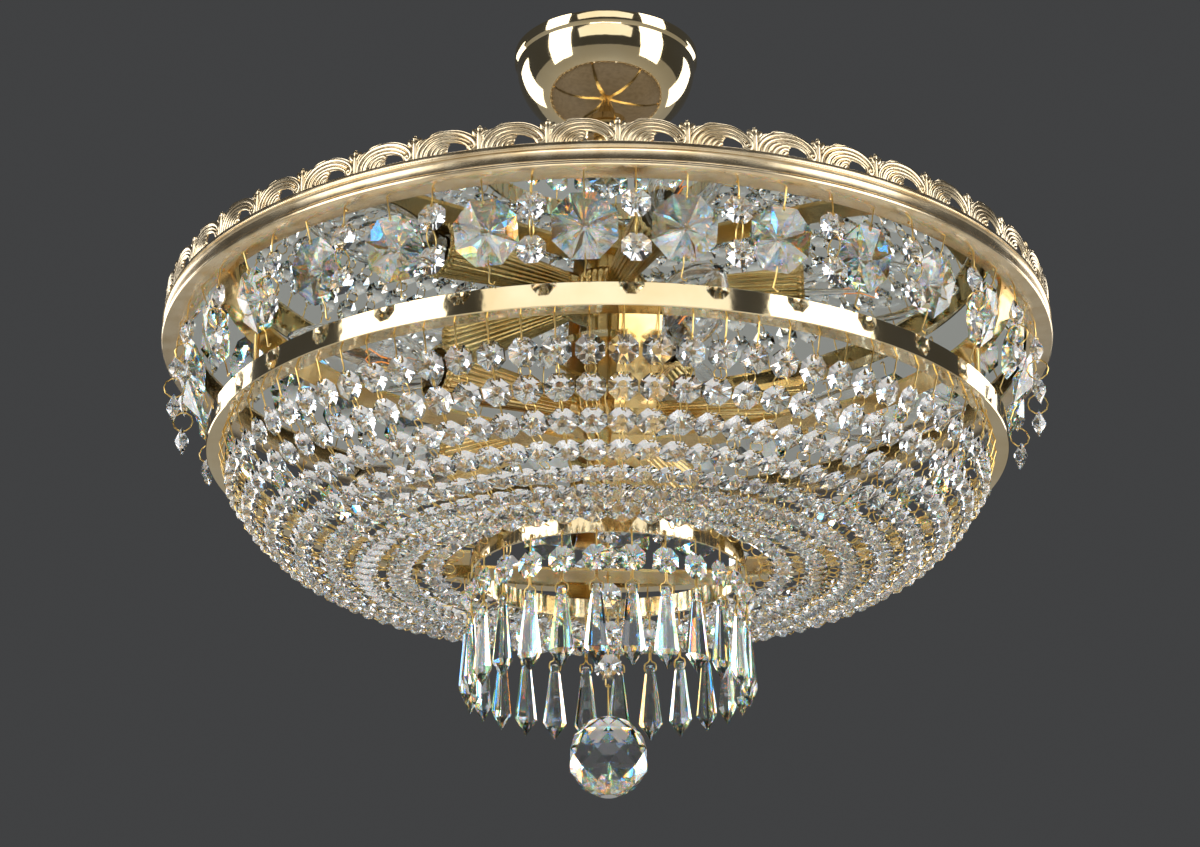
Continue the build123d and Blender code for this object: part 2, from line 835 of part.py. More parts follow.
# Basket octagons, row by row; strings join in twos where a row has no room for all of them
row_count = int((string_length - string_first - half_octagon) / string_pitch) + 1
azimuths = [string_turn + k * 360 / string_count for k in range(string_count)]
start = (string_radius, -mid_drop - wire_gap)
basket_links = []
row_places = []
for row in range(row_count):
    middle = string_first + row * string_pitch
    radius, height, lean = along_string(middle)
    upper_end = along_string(middle - half_octagon)[:2]
    if 2 * pi * radius / len(azimuths) - crystal_gap < tightest:
        join = 180 / len(azimuths)
        tie_end = along_string(middle - half_octagon - wire_gap)[:2]
        shift = join - degrees(tie_apart / tie_end[0])
        basket_links.append(wires(start, tie_end, azimuths[0::2], shift))
        basket_links.append(wires(start, tie_end, azimuths[1::2], -shift))
        azimuths = [a + join for a in azimuths[0::2]]
    else:
        basket_links.append(wires(start, upper_end, azimuths))
    turn = quarter_turn(2 * pi * radius / len(azimuths))
    twist = Rotation(0, lean, 0) * Rotation(0, 0, turn)
    row_places.append([around(a, radius, height) * twist for a in azimuths])
    start = along_string(middle + half_octagon + wire_gap)[:2]
basket_links.append(wires(start, (small_ring_radius + wire_gap, string_ends[1][1]), azimuths))

# Fixed part of the centre chain, from the finial through the cross bar
chain_places = [around(0, 0, -drop) for drop in chain_drops]
bar_base = -small_drop
chain_links = [wires((0, finial_base), (0, -chain_drops[0] + half_octagon), [0])]
for upper, lower in zip(chain_drops, chain_drops[1:]):
    chain_links.append(wires((0, -upper - half_octagon), (0, -lower + half_octagon), [0]))


def wire_hook(top):
    """A wire that steps aside and turns under, to carry a loop at its eye."""
    aside = wire + wire_gap
    eye = top - eye_drop
    with BuildPart() as made:
        with Locations((-aside, 0, (top + eye - wire / 2) / 2)):
            Box(wire, wire, top - eye + wire / 2)
        with Locations((0, 0, eye)):
            Box(2 * aside + wire, wire, wire)
    return made.part


def wire_loop(top, base):
    """A flat wire loop that hangs on the hook above it."""
    loop_top = top - eye_drop + wire / 2 + wire_gap + wire
    height = loop_top - base
    with BuildPart() as made:
        with BuildSketch(Plane.YZ):
            with Locations((0, base + height / 2)):
                Rectangle(loop_inside + 2 * wire, height)
                Rectangle(loop_inside, height - 2 * wire, mode=Mode.SUBTRACT)
        extrude(amount=wire / 2, both=True)
    return made.part


chain_links.append(copies(wire_hook(-chain_drops[-1] - half_octagon), [Location((0, 0, 0))]))

upper_rows = [place for places in row_places[: row_count // 2] for place in places]
lower_rows = [place for places in row_places[row_count // 2 :] for place in places] + chain_places
write(copies(small_octagon, upper_rows), "basket_octagons_upper")
write(copies(small_octagon, lower_rows), "basket_octagons_lower")
write(together(*basket_links, *chain_links), "basket_links")

# Ribs inside the strings, and the bar across the small ring
rib_start = (mid_flange_radius - rib_top_gap - rib_thick / 2, -mid_drop + flange_thick / 2)
rib_turn_point = (rib_bow_radius, -rib_bow_drop)
rib_end = (small_ring_radius + wire_gap, -small_drop + rib_end_rise)
rib_line = [bow(k / 8, rib_start, rib_turn_point, rib_end) for k in range(9)]


def rib_side(points, offset):
    """The rib's line moved sideways by an offset."""
    moved = []
    for k, (x, z) in enumerate(points):
        before = points[max(k - 1, 0)]
        after = points[min(k + 1, len(points) - 1)]
        along = (after[0] - before[0], after[1] - before[1])
        size = hypot(*along)
        moved.append((x - offset * along[1] / size, z + offset * along[0] / size))
    return moved


with BuildPart() as rib:
    with BuildSketch(Plane.XZ):
        with BuildLine():
            outer_side = rib_side(rib_line, rib_thick / 2)
            inner_side = rib_side(rib_line, -rib_thick / 2)
            Polyline(*outer_side, *reversed(inner_side), close=True)
        make_face()
    extrude(amount=rib_width / 2, both=True)
with BuildPart() as cross_bar:
    with BuildSketch(Plane.XY.offset(bar_base)):
        bar_half = sqrt(small_inside**2 - (rib_width / 2) ** 2) - wire_gap / 3
        Rectangle(2 * bar_half, rib_width, rotation=rib_turn)
        Circle(bar_hole_radius, mode=Mode.SUBTRACT)
        with PolarLocations(small_inside, strand_count, start_angle=first_strand - 90):
            Rectangle(2 * bar_notch_depth, bar_notch_width, mode=Mode.SUBTRACT)
    extrude(amount=bar_thick)
rib_places = [around(rib_turn + k * 360 / rib_count, 0, 0) for k in range(rib_count)]
write(together(copies(rib.part, rib_places), cross_bar.part), "basket_ribs")

# Swinging part of the centre chain
swing_top = -swing_drops[0] + half_octagon
swing_base = -swing_drops[-1] - half_octagon
swing_links = [wires((0, -swing_drops[0] - half_octagon), (0, -swing_drops[1] + half_octagon), [0])]
swing_octagons = copies(small_octagon, [around(0, 0, -drop) for drop in swing_drops])
chain_loop = wire_loop(-chain_drops[-1] - half_octagon, swing_top)
write(together(swing_octagons, chain_loop, wire_hook(swing_base), *swing_links), "swing_chain")

# Ball: flat facets between stacked ten-sided rings
with BuildPart() as ball:
    for row in range(ball_rows + 1):
        tilt = pi * (row + 0.35) / (ball_rows + 0.7)
        with BuildSketch(Plane.XY.offset(-ball_drop - ball_radius * cos(tilt))):
            RegularPolygon(ball_radius * sin(tilt), ball_sides)
    loft(ruled=True)
write(ball.part, "ball")

# Ball hook: the long wire loop between the chain and the ball
ball_top = -ball_drop + ball_radius * cos(pi * 0.35 / (ball_rows + 0.7))
write(wire_loop(swing_base, ball_top), "ball_hook")


def spear_outline(width, depth):
    """Eight-sided section of a drop, wider than it is deep."""
    half_w, half_d = width / 2, depth / 2
    flat_w, flat_d = 0.45 * half_w, 0.35 * half_d
    Polygon(
        (half_w, flat_d),
        (flat_w, half_d),
        (-flat_w, half_d),
        (-half_w, flat_d),
        (-half_w, -flat_d),
        (-flat_w, -half_d),
        (flat_w, -half_d),
        (half_w, -flat_d),
        align=None,
    )


# Fringe strand: hook, octagon, bow and drop, modelled on the axis with local Y along the ring
octagon_top = -strand_octagon_drop
leg_out = small_wall / 2 + strand_gap + wire / 2
strand_radius = wall_middle + leg_out
neck_top = octagon_top - octagon_width - strand_bow
shoulder = neck_top - neck_height
drop_ratio = drop_thick / drop_width
with BuildPart() as drop_body:
    with BuildSketch(Plane.XY.offset(shoulder)):
        Rectangle(neck_depth, neck_width)
    extrude(amount=neck_height)
    widest_level = shoulder - drop_length + drop_point
    drop_sections = (
        (shoulder, drop_shoulder),
        (widest_level, drop_width),
        (shoulder - drop_length, drop_tip),
    )
    for level, size in drop_sections:
        with BuildSketch(Plane(origin=(0, 0, level), x_dir=(0, 1, 0), z_dir=(0, 0, 1))):
            spear_outline(size, size * drop_ratio)
    loft(ruled=True)
with BuildPart() as drop_bow:
    leg_place = neck_width / 2 + bow_gap + wire / 2
    yoke_base = neck_top + wire_gap
    with Locations((0, 0, (octagon_top - octagon_width + yoke_base) / 2)):
        Box(wire, wire, octagon_top - octagon_width - yoke_base)
    with Locations((0, 0, yoke_base + wire / 2)):
        Box(wire, 2 * leg_place + wire, wire)
    leg_base = shoulder + neck_height / 3
    with Locations(*[(0, side * leg_place, (yoke_base + leg_base) / 2) for side in (1, -1)]):
        Box(wire, wire, yoke_base - leg_base)
with BuildPart() as strand_hook:
    hook_top = hole_level + wire / 2
    with Locations((0, 0, (hook_top + octagon_top) / 2)):
        Box(wire, wire, hook_top - octagon_top)
    with Locations((-leg_out, 0, hole_level)):
        Box(2 * leg_out + wire, wire, wire)
    with Locations((-2 * leg_out, 0, hole_level - strand_tail / 2)):
        Box(wire, wire, wire + strand_tail)
strand_octagon = Pos(0, 0, octagon_top - half_octagon) * small_octagon
strand = together(strand_hook.part, strand_octagon, drop_bow.part, drop_body.part)
for k in range(strand_count):
    azimuth = first_strand + k * 360 / strand_count
    placed = copies(strand, [around(azimuth, strand_radius, 0)])
    write(together(placed), f"fringe_strand_{k + 1:02d}")

print("basket rows", row_count, "string length", round(string_length, 1))
print("lowest point", round(-ball_drop - ball_radius, 1))
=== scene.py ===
# %% [markdown]
# # A crystal basket ceiling light
# The solids of the light are already there as a frame: rings, arms, lamps and strung crystals, each in its
# own place. This file dresses them. It makes the turned brass smooth, gives the crystals their cuts, bends the
# wires and sets up a small studio. Every size is in millimetres and is turned to metres at the last moment.

import math

import bpy
import numpy as np
from mathutils import Matrix, Vector


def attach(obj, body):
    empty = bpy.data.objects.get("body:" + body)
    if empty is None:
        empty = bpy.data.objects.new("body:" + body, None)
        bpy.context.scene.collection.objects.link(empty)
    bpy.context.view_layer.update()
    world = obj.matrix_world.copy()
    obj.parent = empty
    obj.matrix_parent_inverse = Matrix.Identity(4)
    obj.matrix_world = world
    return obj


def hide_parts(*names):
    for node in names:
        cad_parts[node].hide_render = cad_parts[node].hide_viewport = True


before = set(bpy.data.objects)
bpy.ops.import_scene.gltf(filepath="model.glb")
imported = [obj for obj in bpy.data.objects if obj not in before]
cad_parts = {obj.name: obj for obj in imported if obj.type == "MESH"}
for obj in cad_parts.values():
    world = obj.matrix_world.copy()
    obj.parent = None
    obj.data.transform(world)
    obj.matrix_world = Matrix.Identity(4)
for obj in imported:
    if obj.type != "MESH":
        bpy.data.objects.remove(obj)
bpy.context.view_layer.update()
MM = 0.001

# %% [markdown]
# ## Helpers for shapes
# A shape here is a grid of points worked out as one array. The faces of a grid only depend on how many rows
# and columns it has, so one function makes them for every shape. Many equal shapes are one mesh: the points
# are multiplied by a stack of placing matrices at once.


# %% Grids, copies and pieces
def grid_faces(rows, columns, close_rows=False, close_columns=False):
    """Quads of a grid: each joins a point, its neighbour in the row, and the two below them."""
    r = np.arange(rows if close_rows else rows - 1)[:, None]
    c = np.arange(columns if close_columns else columns - 1)[None, :]
    r2, c2 = (r + 1) % rows, (c + 1) % columns
    corners = [r * columns + c, r * columns + c2, r2 * columns + c2, r2 * columns + c]
    return np.stack([k.ravel() for k in corners], axis=1).tolist()


def tube_faces(rows, sides):
    """Quads round a tube of that many sections, and one face over each end."""
    last = rows * sides
    ends = [list(range(sides)), list(range(last - 1, last - sides - 1, -1))]
    return grid_faces(rows, sides, close_columns=True) + ends


def placed(points, places):
    """Points of one shape at many places: each 4 by 4 matrix turns and moves all of them."""
    places = np.asarray(places, float)
    turned = np.einsum("nij,pj->npi", places[:, :3, :3], points)
    return (turned + places[:, None, :3, 3]).reshape(-1, 3)


def repeated(faces, size, count):
    """Faces of a shape with that many points, counted on for each copy."""
    return [[k + size * n for k in face] for n in range(count) for face in faces]


def add_piece(name, points, faces, body, finish, slot, replaces=(), smooth=None):
    """Put points in millimetres into a mesh, and let it ride on a body. smooth is an angle in degrees."""
    mesh = bpy.data.meshes.new(name)
    mesh.from_pydata((np.asarray(points) * MM).tolist(), [], faces)
    mesh.update()
    mesh.materials.append(finish)
    if smooth:
        mesh.polygons.foreach_set("use_smooth", [True] * len(mesh.polygons))
        mesh.set_sharp_from_angle(angle=math.radians(smooth))
    piece = bpy.data.objects.new(name, mesh)
    bpy.context.scene.collection.objects.link(piece)
    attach(piece, body)
    if replaces:
        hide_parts(*replaces)
    return piece


def turn(axis, degrees):
    """A turn about one axis as a 4 by 4 array."""
    return np.array(Matrix.Rotation(math.radians(degrees), 4, axis))


def move(x, y, z):
    """A move as a 4 by 4 array."""
    return np.array(Matrix.Translation((x, y, z)))


def around(azimuth, radius, height):
    """Place at an azimuth from the front, with local X pointing away from the axis."""
    return turn("Z", azimuth - 90) @ move(radius, 0, height)


# %% [markdown]
# ## Helpers for turned parts
# Most of the brass is spun or turned. A turned part is a closed outline in (radius, height) carried round an axis.
# The outline may run either way, because its faces are turned over where they would look inwards.


# %% Turned shapes and wires
def outwards(points, faces):
    """The same faces, all turned over if the closed shape they make has a negative volume."""
    points = np.asarray(points)
    volume = sum(
        np.dot(points[f[0]], np.cross(points[f[k]], points[f[k + 1]])) for f in faces for k in range(1, len(f) - 1)
    )
    return faces if volume > 0 else [f[::-1] for f in faces]


def lathe(outline, steps, flute=None):
    """Points at (radius, height) of a closed outline, at equal angles. flute changes the radius with the angle."""
    outline = np.asarray(outline, float)
    angle = np.linspace(0, 2 * np.pi, steps, endpoint=False)
    radius = np.repeat(outline[:, :1], steps, axis=1)
    if flute:
        radius = flute(radius, outline[:, 1:2], angle[None, :])
    height = np.repeat(outline[:, 1:2], steps, axis=1)
    points = np.stack([radius * np.cos(angle), radius * np.sin(angle), height], axis=-1).reshape(-1, 3)
    return points, outwards(points, grid_faces(len(outline), steps, close_rows=True, close_columns=True))


SKEW = (0.31, 0.92, 0.23)  # a direction that no wire here follows, to set each circle square against


def wire_along(path, radius, sides=6):
    """A round wire: circles across the path, each square to the line through its neighbours, and capped ends."""
    path = np.asarray(path, float)
    ahead = np.gradient(path, axis=0)
    ahead /= np.linalg.norm(ahead, axis=1, keepdims=True)
    aside = np.cross(ahead, SKEW)
    aside /= np.linalg.norm(aside, axis=1, keepdims=True)
    across = np.cross(ahead, aside)
    angle = np.linspace(0, 2 * np.pi, sides, endpoint=False)[None, :, None]
    ring = aside[:, None] * np.cos(angle) + across[:, None] * np.sin(angle)
    points = (path[:, None] + radius * ring).reshape(-1, 3)
    return points, outwards(points, tube_faces(len(path), sides))


def wire_ring(radius, thick, steps=10, sides=4):
    """A closed ring of wire in the plane of X and Z: a small circle carried round a large one."""
    angle = np.linspace(0, 2 * np.pi, steps, endpoint=False)[:, None]
    section = np.linspace(0, 2 * np.pi, sides, endpoint=False)[None, :]
    reach = radius + thick * np.cos(section)
    points = np.stack([reach * np.cos(angle), thick * np.sin(section) + 0 * angle, reach * np.sin(angle)], axis=-1)
    points = points.reshape(-1, 3)
    return points, outwards(points, grid_faces(steps, sides, True, True))


def joined(*shapes):
    """Several (points, faces) shapes as one."""
    points, faces, start = [], [], 0
    for shape_points, shape_faces in shapes:
        points.append(shape_points)
        faces += [[k + start for k in face] for face in shape_faces]
        start += len(shape_points)
    return np.concatenate(points), faces


def copied(shape, places):
    """One shape at many places, as one shape."""
    points, faces = shape
    return placed(points, places), repeated(faces, len(points), len(places))


# %% [markdown]
# ## Finishes
# Lacquered brass is pale gold and almost a mirror. Lead crystal bends light strongly, and bends blue more than
# red, so a few glasses of different colours are added up here, each with its own bending. That gives the sparks.


# %% Nodes and colours
def colour(code, alpha=1.0):
    """A screen colour such as d9b36a as the linear colour that the shader works in."""
    values = [int(code[k : k + 2], 16) / 255 for k in (0, 2, 4)]
    linear = [v / 12.92 if v <= 0.04045 else ((v + 0.055) / 1.055) ** 2.4 for v in values]
    return (*linear, alpha)


def add_node(tree, kind, settings=None, links=None):
    """Add a node, set its sockets and properties by name, and link what comes in."""
    node = tree.nodes.new(kind)
    for name, value in (settings or {}).items():
        if name in node.inputs:
            node.inputs[name].default_value = value
        else:
            setattr(node, name, value)
    for name, source in (links or {}).items():
        tree.links.new(source, node.inputs[name])
    return node


def new_material(name):
    """An empty material with its output node."""
    material = bpy.data.materials.new(name)
    material.use_nodes = True
    material.node_tree.nodes.clear()
    return material, material.node_tree, add_node(material.node_tree, "ShaderNodeOutputMaterial")


def metal(name, code, dark_code, rough, patch_mm, bump=0.0):
    """Metal with slow changes of tone and polish, as a buffed and lacquered surface has. A bump of 1 tilts it by
    about 0.7 degrees, or 0.012 of a patch, from patch to patch, which makes the edges of reflections wander."""
    material, tree, output = new_material(name)
    place = add_node(tree, "ShaderNodeTexCoord")
    noise = add_node(
        tree, "ShaderNodeTexNoise", {"Scale": 1 / (patch_mm * MM), "Detail": 4.0}, {"Vector": place.outputs["Object"]}
    )
    tone = add_node(tree, "ShaderNodeValToRGB", links={"Fac": noise.outputs["Fac"]})
    tone.color_ramp.elements[0].position, tone.color_ramp.elements[0].color = 0.3, colour(dark_code)
    tone.color_ramp.elements[1].position, tone.color_ramp.elements[1].color = 0.6, colour(code)
    polish = add_node(
        tree,
        "ShaderNodeMapRange",
        {"To Min": rough * 0.7, "To Max": rough * 1.3},
        {"Value": noise.outputs["Fac"]},
    )
    shader = add_node(
        tree,
        "ShaderNodeBsdfPrincipled",
        {"Metallic": 1.0},
        {"Base Color": tone.outputs["Color"], "Roughness": polish.outputs["Result"]},
    )
    if bump:
        relief = add_node(
            tree,
            "ShaderNodeBump",
            {"Strength": bump, "Distance": 0.012 * patch_mm * MM},
            {"Height": noise.outputs["Fac"]},
        )
        tree.links.new(relief.outputs["Normal"], shader.inputs["Normal"])
    tree.links.new(shader.outputs["BSDF"], output.inputs["Surface"])
    return material


def plain(name, code, rough, metallic=0.0):
    """A smooth finish of one colour, with a fine change of polish."""
    material, tree, output = new_material(name)
    place = add_node(tree, "ShaderNodeTexCoord")
    noise = add_node(tree, "ShaderNodeTexNoise", {"Scale": 300.0}, {"Vector": place.outputs["Object"]})
    polish = add_node(
        tree, "ShaderNodeMapRange", {"To Min": rough * 0.8, "To Max": rough * 1.2}, {"Value": noise.outputs["Fac"]}
    )
    shader = add_node(
        tree,
        "ShaderNodeBsdfPrincipled",
        {"Base Color": colour(code), "Metallic": metallic},
        {"Roughness": polish.outputs["Result"]},
    )
    tree.links.new(shader.outputs["BSDF"], output.inputs["Surface"])
    return material


# %% Metals, ceramics and glass
# Polished brass under clear lacquer is pale and nearly white where a lamp shows in it. The stamped strip and the
# rolled band are satin, so their highlights are wide and soft. Inside, the turned brass is a deeper gold.
polished_brass = metal("lacquered_polished_brass", "f2e0b8", "e6cf9f", 0.07, 40, bump=0.7)
champagne_brass = metal("stamped_satin_brass", "ecd9b6", "dcc296", 0.24, 12)
satin_brass = metal("turned_brass", "ecd093", "cda864", 0.20, 20, bump=0.2)
wire_brass = metal("gilt_brass_wire", "f3d38a", "dfb560", 0.30, 5)
zinc_steel = metal("zinc_plated_steel", "b9bcbc", "9fa3a3", 0.35, 8)
nickel = metal("nickel_plated_cap", "cfccc4", "b5b1a8", 0.18, 6)
holder_plastic = plain("moulded_bakelite_ivory", "e6dfcf", 0.45)
mirror_silver = plain("silvered_glass", "dfe4e1", 0.015, metallic=1.0)
mirror_paint = metal("mirror_backing_paint", "8a8078", "766c64", 0.5, 15)
mirror_paint.node_tree.nodes["Principled BSDF"].inputs["Metallic"].default_value = 0.0


def clear_glass(name, ior):
    """Clear glass, as blown for bulbs."""
    material, tree, output = new_material(name)
    shader = add_node(
        tree,
        "ShaderNodeBsdfPrincipled",
        {"Base Color": colour("ffffff"), "Transmission Weight": 1.0, "IOR": ior, "Roughness": 0.0},
    )
    tree.links.new(shader.outputs["BSDF"], output.inputs["Surface"])
    return material


def crystal_glass(name, shares):
    """Cut lead crystal: glasses of a few colours that add up to white, each bending light more than the last."""
    material, tree, output = new_material(name)
    total = None
    for code, ior in shares:
        part = add_node(tree, "ShaderNodeBsdfGlass", {"Color": colour(code), "IOR": ior, "Roughness": 0.0}).outputs[0]
        if total:
            both = add_node(tree, "ShaderNodeAddShader")
            tree.links.new(total, both.inputs[0])
            tree.links.new(part, both.inputs[1])
            part = both.outputs[0]
        total = part
    tree.links.new(total, output.inputs["Surface"])
    return material


def glowing(name, code, strength):
    """A filament given a faint warm painted glow, though its lamp is off."""
    material, tree, output = new_material(name)
    shader = add_node(
        tree,
        "ShaderNodeBsdfPrincipled",
        {"Base Color": colour(code), "Emission Color": colour(code), "Emission Strength": strength},
    )
    tree.links.new(shader.outputs["BSDF"], output.inputs["Surface"])
    return material


# Large cuts throw wide rainbows. Small beads throw mostly white sparks with a warm or a cool edge.
crystal = crystal_glass("cut_lead_crystal", (("edbb6c", 1.565), ("6cbbed", 1.615)))
bead_crystal = crystal_glass("pressed_crystal_beads", (("cfbba4", 1.57), ("a4bbcf", 1.605)))
bulb_clear = clear_glass("blown_bulb_glass", 1.46)
# The bulbs are off: this warm glow of the filaments is painted light.
filament_painted_glow = glowing("tungsten_painted_glow", "ff9a3c", 0.8)

# %% [markdown]
# ## Levels and radii
# These repeat the sizes of the solids, because this file can't read their source.

# %% Sizes
RING_LOW, RING_TOP = -193.0, -182.5
RING_STEPS = 360
MID_LOW, MID_TOP, MID_RADIUS = -252.0, -240.0, 213.5
SMALL_LOW, SMALL_RADIUS = -313.0, 72.5
LAMP_LEVEL = -221.0
LAMP_AZIMUTHS = [16.0 + 72.0 * k for k in range(5)]
OCTAGON, OCTAGON_THICK = 14.0, 7.0

# %% [markdown]
# ## Spun and rolled brass
# The canopy is a spun cup. The rings are rolled strip: the top one has a rounded lip and fine lines round it.


# %% Canopy and rings
def arc(centre, radii, start, end, count):
    """Points on an ellipse from one angle to another, both in degrees."""
    angle = np.radians(np.linspace(start, end, count))
    return [(centre[0] + radii[0] * math.cos(a), centre[1] + radii[1] * math.sin(a)) for a in angle]


cup_outer = [(52, 0), (52, -5.2), (51.6, -6), (50.5, -7.5)] + arc((10, -7.5), (40.5, 38.5), 0, -90, 26)[1:]
cup_inner = arc((10, -7.5), (39.5, 37.5), -90, 0, 26) + [(51, -6), (51, 0)]
cup = lathe(cup_outer + [(7.3, -46), (7.3, -45)] + cup_inner, 192)
add_piece("canopy_cup", *cup, "canopy", polished_brass, "polished_brass", ["canopy"], 30)

flange_inside = 226.0
band_outline = [
    (flange_inside, RING_LOW), (239.2, RING_LOW), (239.8, RING_LOW + 0.5), (240, RING_LOW + 1.5),
    (239.7, RING_LOW + 2.6), (239.0, RING_LOW + 3.2), (238.8, RING_LOW + 3.6), (238.8, -185.4),
    (239.2, -185.0), (239.4, -184.6), (239.2, -184.2), (238.9, -184.0), (239.4, -183.6), (239.4, RING_TOP),
    (237.3, RING_TOP), (237.3, -185.5), (234.3, -185.5), (234.3, -187.0), (237.3, -187.0), (237.3, -191.5),
    (flange_inside, -191.5),
]
top_band = lathe(band_outline, RING_STEPS)
add_piece("top_band", *top_band, "frame", champagne_brass, "polished_brass", ["top_ring"], 40)

mid_outline = [
    (203.5, MID_LOW), (213.1, MID_LOW), (MID_RADIUS, MID_LOW + 0.4), (MID_RADIUS, MID_TOP - 0.4), (213.1, MID_TOP),
    (212, MID_TOP), (212, -250.5), (203.5, -250.5),
]
middle_band = lathe(mid_outline, RING_STEPS)
add_piece("middle_band", *middle_band, "frame", polished_brass, "polished_brass", ["middle_ring"], 40)

# These solids are right as they are and only get their finish
shown_as_solids = [
    (polished_brass, ["small_ring", "canopy_collar", "mirror_dish", "finial"]),
    (satin_brass, ["stem_tube", "column_spacers", "frame_arms", "ring_hangers", "basket_ribs", "mirror_clamp"]),
    (zinc_steel, ["ceiling_bracket", "stem_rod", "stem_nuts"]),
    (holder_plastic, ["terminal_block", "lampholders"]),
]
for finish, nodes in shown_as_solids:
    for node in nodes:
        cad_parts[node].data.materials.clear()
        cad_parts[node].data.materials.append(finish)
print("rings made")

# %% [markdown]
# ## Mirror
# The disc is float glass, silvered and painted on its upper face. From below it doubles every lamp and crystal.

# %% Mirror disc
low, top, rim, hole = -185.5, -182.5, 236.8, 8.0
mirror = lathe([(hole, low), (rim, low), (rim, top), (hole, top)], 256)
disc = add_piece("mirror_glass", *mirror, "frame", mirror_silver, "mirror_glass", ["mirror_disc"], 30)
disc.data.materials.append(mirror_paint)
for polygon in disc.data.polygons:
    faces_up = polygon.normal.z > 0.5
    polygon.material_index = 1 if faces_up else 0
print("mirror made")

# %% [markdown]
# ## Gallery
# The edge of the top ring is a stamped acanthus strip. One motif is a wave of raised leaf ribs that lie side by
# side, curl over an arched opening and end in a volute. A bud stands between two motifs. Ribs that touch make
# the strip a solid sheet with grooves, as stamping does.


# %% Acanthus motifs
def smooth_line(marks, count):
    """Points on a Catmull-Rom curve through marks: each stretch is a cubic, and its slope at a mark is half the way
    from the mark before to the mark after."""
    marks = np.asarray(marks, float)
    marks = np.concatenate([[2 * marks[0] - marks[1]], marks, [2 * marks[-1] - marks[-2]]])
    place = np.linspace(0, len(marks) - 3 - 1e-9, count)
    k = place.astype(int)
    u = (place - k)[:, None]
    before, here, after, beyond = (marks[k + n] for n in range(4))
    bend = 2 * before - 5 * here + 4 * after - beyond
    return 0.5 * (2 * here + (after - before) * u + bend * u**2 + (3 * here - before - 3 * after + beyond) * u**3)


LEAF_SIDES = 6


def leaf(marks, width, height, steps=13):
    """A leaf rib: half-round sections along a smooth line, thinner at its ends. Points are (across, up, out)."""
    share = np.linspace(0, 1, steps)
    line = smooth_line(marks, steps)
    along = np.gradient(line, axis=0)
    along /= np.linalg.norm(along, axis=1, keepdims=True)
    across = np.stack([-along[:, 1], along[:, 0]], axis=1)
    swell = width * (0.55 + 0.45 * np.sin(np.pi * share) ** 0.6)
    angle = np.linspace(0, 2 * np.pi, LEAF_SIDES, endpoint=False)
    side = np.cos(angle)[None, :, None] * (swell[:, None] * across)[:, None, :]
    out = np.sin(angle)[None, :] * height * (0.6 + 0.4 * np.sin(np.pi * share))[:, None]
    points = np.concatenate([line[:, None, :] + side, out[..., None]], axis=-1).reshape(-1, 3)
    return points, outwards(points, tube_faces(steps, LEAF_SIDES))


MOTIFS, FIRST_BUD = 46, 1.3
GALLERY_RADIUS = 238.3
half = math.pi * GALLERY_RADIUS / MOTIFS
wave = [
    [(-15.0, 0.6), (-14.6, 4.4), (-12.4, 8.4), (-7.8, 11.6), (-1.6, 12.8), (4.8, 12.3), (10.2, 10.0), (13.7, 6.8),
     (14.6, 4.0), (13.2, 2.4), (11.6, 3.4), (12.2, 5.0), (13.3, 4.2)],
    [(-12.5, 0.6), (-12.0, 4.2), (-9.9, 7.6), (-5.8, 9.9), (-0.6, 10.7), (4.6, 10.2), (8.9, 8.4), (11.8, 6.2)],
    [(-10.0, 0.6), (-9.5, 3.8), (-7.4, 6.6), (-3.8, 8.3), (0.4, 8.7), (4.6, 8.3), (8.0, 7.0), (10.6, 5.0), (11.0, 3.0)],
    [(-7.5, 0.6), (-7.0, 3.4), (-5.2, 5.6), (-2.4, 6.9), (0.2, 7.0), (1.4, 6.2)],
    [(-5.0, 0.6), (-4.5, 3.0), (-2.9, 4.8), (-0.8, 5.4), (0.6, 4.8)],
    [(-2.6, 0.6), (-2.1, 2.4), (-0.9, 3.5), (0.4, 3.4)],
]
widths = (1.45, 1.25, 1.15, 1.2, 1.2, 1.1)
rib_height, outer_steps, inner_steps = 1.05, 27, 13
leaves = [
    leaf(marks, width, rib_height, outer_steps if k == 0 else inner_steps)
    for k, (marks, width) in enumerate(zip(wave, widths))
]
leaves += [
    leaf([(-11.6, 0.6), (-10.9, 4.2), (-8.2, 7.4), (-4.0, 9.4), (1.2, 10.1), (6.2, 9.2), (10.6, 6.8)], 2.9, 0.35),
    leaf([(-5.6, 0.6), (-5.0, 3.0), (-3.4, 5.0), (-1.0, 5.8), (0.6, 5.4)], 2.6, 0.35, 9),
    leaf([(-14.2, 6.6), (-13.4, 9.4), (-10.2, 11.6)], 1.0, 0.9, 7),
    leaf([(-9.4, 11.2), (-6.2, 13.2), (-1.4, 13.9)], 0.9, 0.9, 7),
    leaf([(half, 0.6), (half, 5.0), (half, 9.5), (half, 12.4)], 1.6, 1.1, 9),
    leaf([(half, 11.0), (half, 14.2)], 1.4, 1.0, 7),
    leaf([(half - 0.5, 9.0), (half - 2.5, 10.6), (half - 2.7, 12.8)], 1.3, 0.9, 7),
    leaf([(half + 0.5, 9.0), (half + 2.5, 10.6), (half + 2.7, 12.8)], 1.3, 0.9, 7),
    leaf([(-half - 0.2, 0.5), (0, 0.5), (half + 0.2, 0.5)], 1.0, 0.8, 5),
]
motif_points, motif_faces = joined(*leaves)
first_motif = FIRST_BUD - 180 / MOTIFS
motif_turns = np.radians(first_motif + 360 / MOTIFS * np.arange(MOTIFS))
angle = motif_turns[:, None] + motif_points[None, :, 0] / GALLERY_RADIUS
radius = GALLERY_RADIUS + motif_points[None, :, 2]
strip = np.stack(
    [radius * np.sin(angle), -radius * np.cos(angle), np.broadcast_to(RING_TOP + motif_points[:, 1], angle.shape)],
    axis=-1,
).reshape(-1, 3)
foot_outline = [(237.5, RING_TOP), (239.1, RING_TOP), (239.1, -180.6), (238.6, -180.1), (237.5, -180.1)]
foot = lathe(foot_outline, RING_STEPS)
